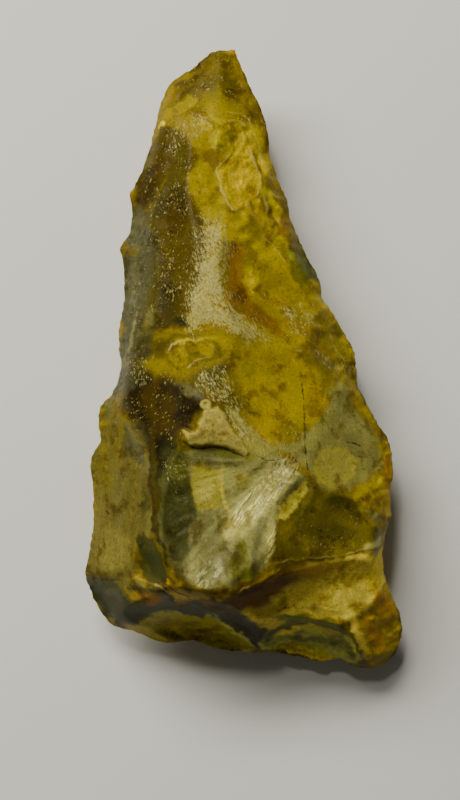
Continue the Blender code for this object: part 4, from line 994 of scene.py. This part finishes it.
# and a dusting of finer ones, with dark pits among them
motes = stirred(grain((2600, 1500, 1900), 2, 0.5, 0.2, -0.55), medium, 0.3)
mote_mask = times(span(motes, 0.645, 0.71), span(fleck, -6.0, 2.0, 0.15, 0.55))
mote_mask = times(mote_mask, span(coarse, 0.44, 0.56))
colour = lay(colour, (0.30, 0.26, 0.055), mote_mask)
colour = lay(colour, (0.40, 0.36, 0.30), span(grain(2300, 2, 0.6), 0.60, 0.70, 0.0, 0.6), "MULTIPLY")
# pale fracture lines, a few of them also painted highlights along lips, and dark lines: cracks, and painted shadow
# lines under steps and lips
pale_line = stirred(field("pale_line"), medium, 1.4)
pale_mask = times(span(pale_line, 0.50, 0.05), span(coarse, 0.40, 0.56, 0.15, 0.6))
colour = lay(colour, (0.46, 0.37, 0.085), pale_mask)
dark_line = stirred(field("dark_line"), medium, 1.2)
dark_mask = times(span(dark_line, 0.38, 0.05), 0.75)
colour = lay(colour, (0.012, 0.010, 0.004), dark_mask)
# cortex and worn places carry faint bands that run the long way of the stone
bands = span(grain((430, 70, 300), 4, 0.7, 0.6, 0.06), 0.36, 0.62, 0.86, 1.05)
colour = lay(colour, bands, span(matte_places, -0.6, 1.2), "MULTIPLY")
join(colour, shell.inputs["Base Color"])
# gloss of the patina by tone, dull on cortex, chalk and frost
matte = span(stirred(matte_places, medium, 4.0), -0.6, 1.2)
gloss = sums("ADD", stirred(field("dullness"), medium, 0.5), times(frost_mask, 0.20))
gloss = sums("MINIMUM", sums("MAXIMUM", gloss, 0.2), 0.9)
join(gloss, shell.inputs["Roughness"])
shell.inputs["IOR"].default_value = 1.16
shell.inputs["Specular Tint"].default_value = (1.0, 0.90, 0.60, 1.0)
# a thin glassy patina, finely crinkled, where the scars have kept their shine
shine = times(glossy, span(medium, 0.36, 0.56, 0.35, 1.0))
shine = times(shine, sums("SUBTRACT", 1.0, times(matte, 0.9)))
join(shine, shell.inputs["Coat Weight"])
shell.inputs["Coat Roughness"].default_value = 0.16
shell.inputs["Coat IOR"].default_value = 1.5
crinkle = sums("ADD", times(hackle_grain, 0.7), times(fine, 0.3))
join(bump(crinkle, 0.8, 0.0009), shell.inputs["Coat Normal"])
# bump of the skin: fine pitting everywhere, coarser on the matte places
pits = sums("ADD", times(fine, 0.7), times(dust, 0.3))
height = times(pits, sums("MULTIPLY_ADD", matte, 0.9, 0.35))
height = sums("SUBTRACT", height, times(dark_mask, 0.8))
join(bump(height, 0.55, 0.00035), shell.inputs["Normal"])
stone_mesh.materials.append(flint)

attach(hand_axe, "root")
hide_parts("hand_axe")

# The table: a plain pale matte sheet that the stone lies on
sheet = bpy.data.meshes.new("table_sheet")
sheet.from_pydata([(-3, -3, 0), (3, -3, 0), (3, 3, 0), (-3, 3, 0)], [], [(0, 1, 2, 3)])
table_sheet = bpy.data.objects.new("table_sheet", sheet)
bpy.context.scene.collection.objects.link(table_sheet)
pale = bpy.data.materials.new("pale_sheet")
pale.use_nodes = True
pale_shell = pale.node_tree.nodes["Principled BSDF"]
pale_shell.inputs["Base Color"].default_value = (0.735, 0.727, 0.685, 1)
pale_shell.inputs["Roughness"].default_value = 0.85
sheet.materials.append(pale)

# Light: one long low window beyond the tip, reaching far to the left, and a dim even room
room = bpy.data.worlds.new("room")
bpy.context.scene.world = room
room.use_nodes = True
room.node_tree.nodes["Background"].inputs["Color"].default_value = (1.0, 0.95, 0.82, 1)
room.node_tree.nodes["Background"].inputs["Strength"].default_value = 0.07
for name, where, long, deep, power in (("window", (-1.05, 0.93, 1.0), 2.0, 0.3, 54.0),
                                       ("window_gap", (-0.42, 1.15, 1.9), 0.22, 0.16, 7.0)):
    pane = bpy.data.lights.new(name, "AREA")
    pane.shape = "RECTANGLE"
    pane.size, pane.size_y = long, deep
    pane.energy = power
    pane.color = (1.0, 0.975, 0.88)
    pane_object = bpy.data.objects.new(name, pane)
    pane_object.location = where
    pane_object.rotation_euler = (-math.atan2(where[1], where[2]), 0, 0)
    bpy.context.scene.collection.objects.link(pane_object)

# Camera: looks straight down from 600 mm, a little to the butt side of the middle, so that the table
# comes out at 2900 pixels to the metre in a picture 800 pixels high
eye_height, pixels_per_metre, picture_height = 0.600, 2900.0, 800.0
eye = bpy.data.cameras.new("eye")
eye.sensor_fit = "VERTICAL"
eye.sensor_height = 36.0
eye.lens = 36.0 * eye_height * pixels_per_metre / picture_height
eye_object = bpy.data.objects.new("eye", eye)
eye_object.location = (-0.0049, -0.0126, eye_height)
bpy.context.scene.collection.objects.link(eye_object)
bpy.context.scene.camera = eye_object
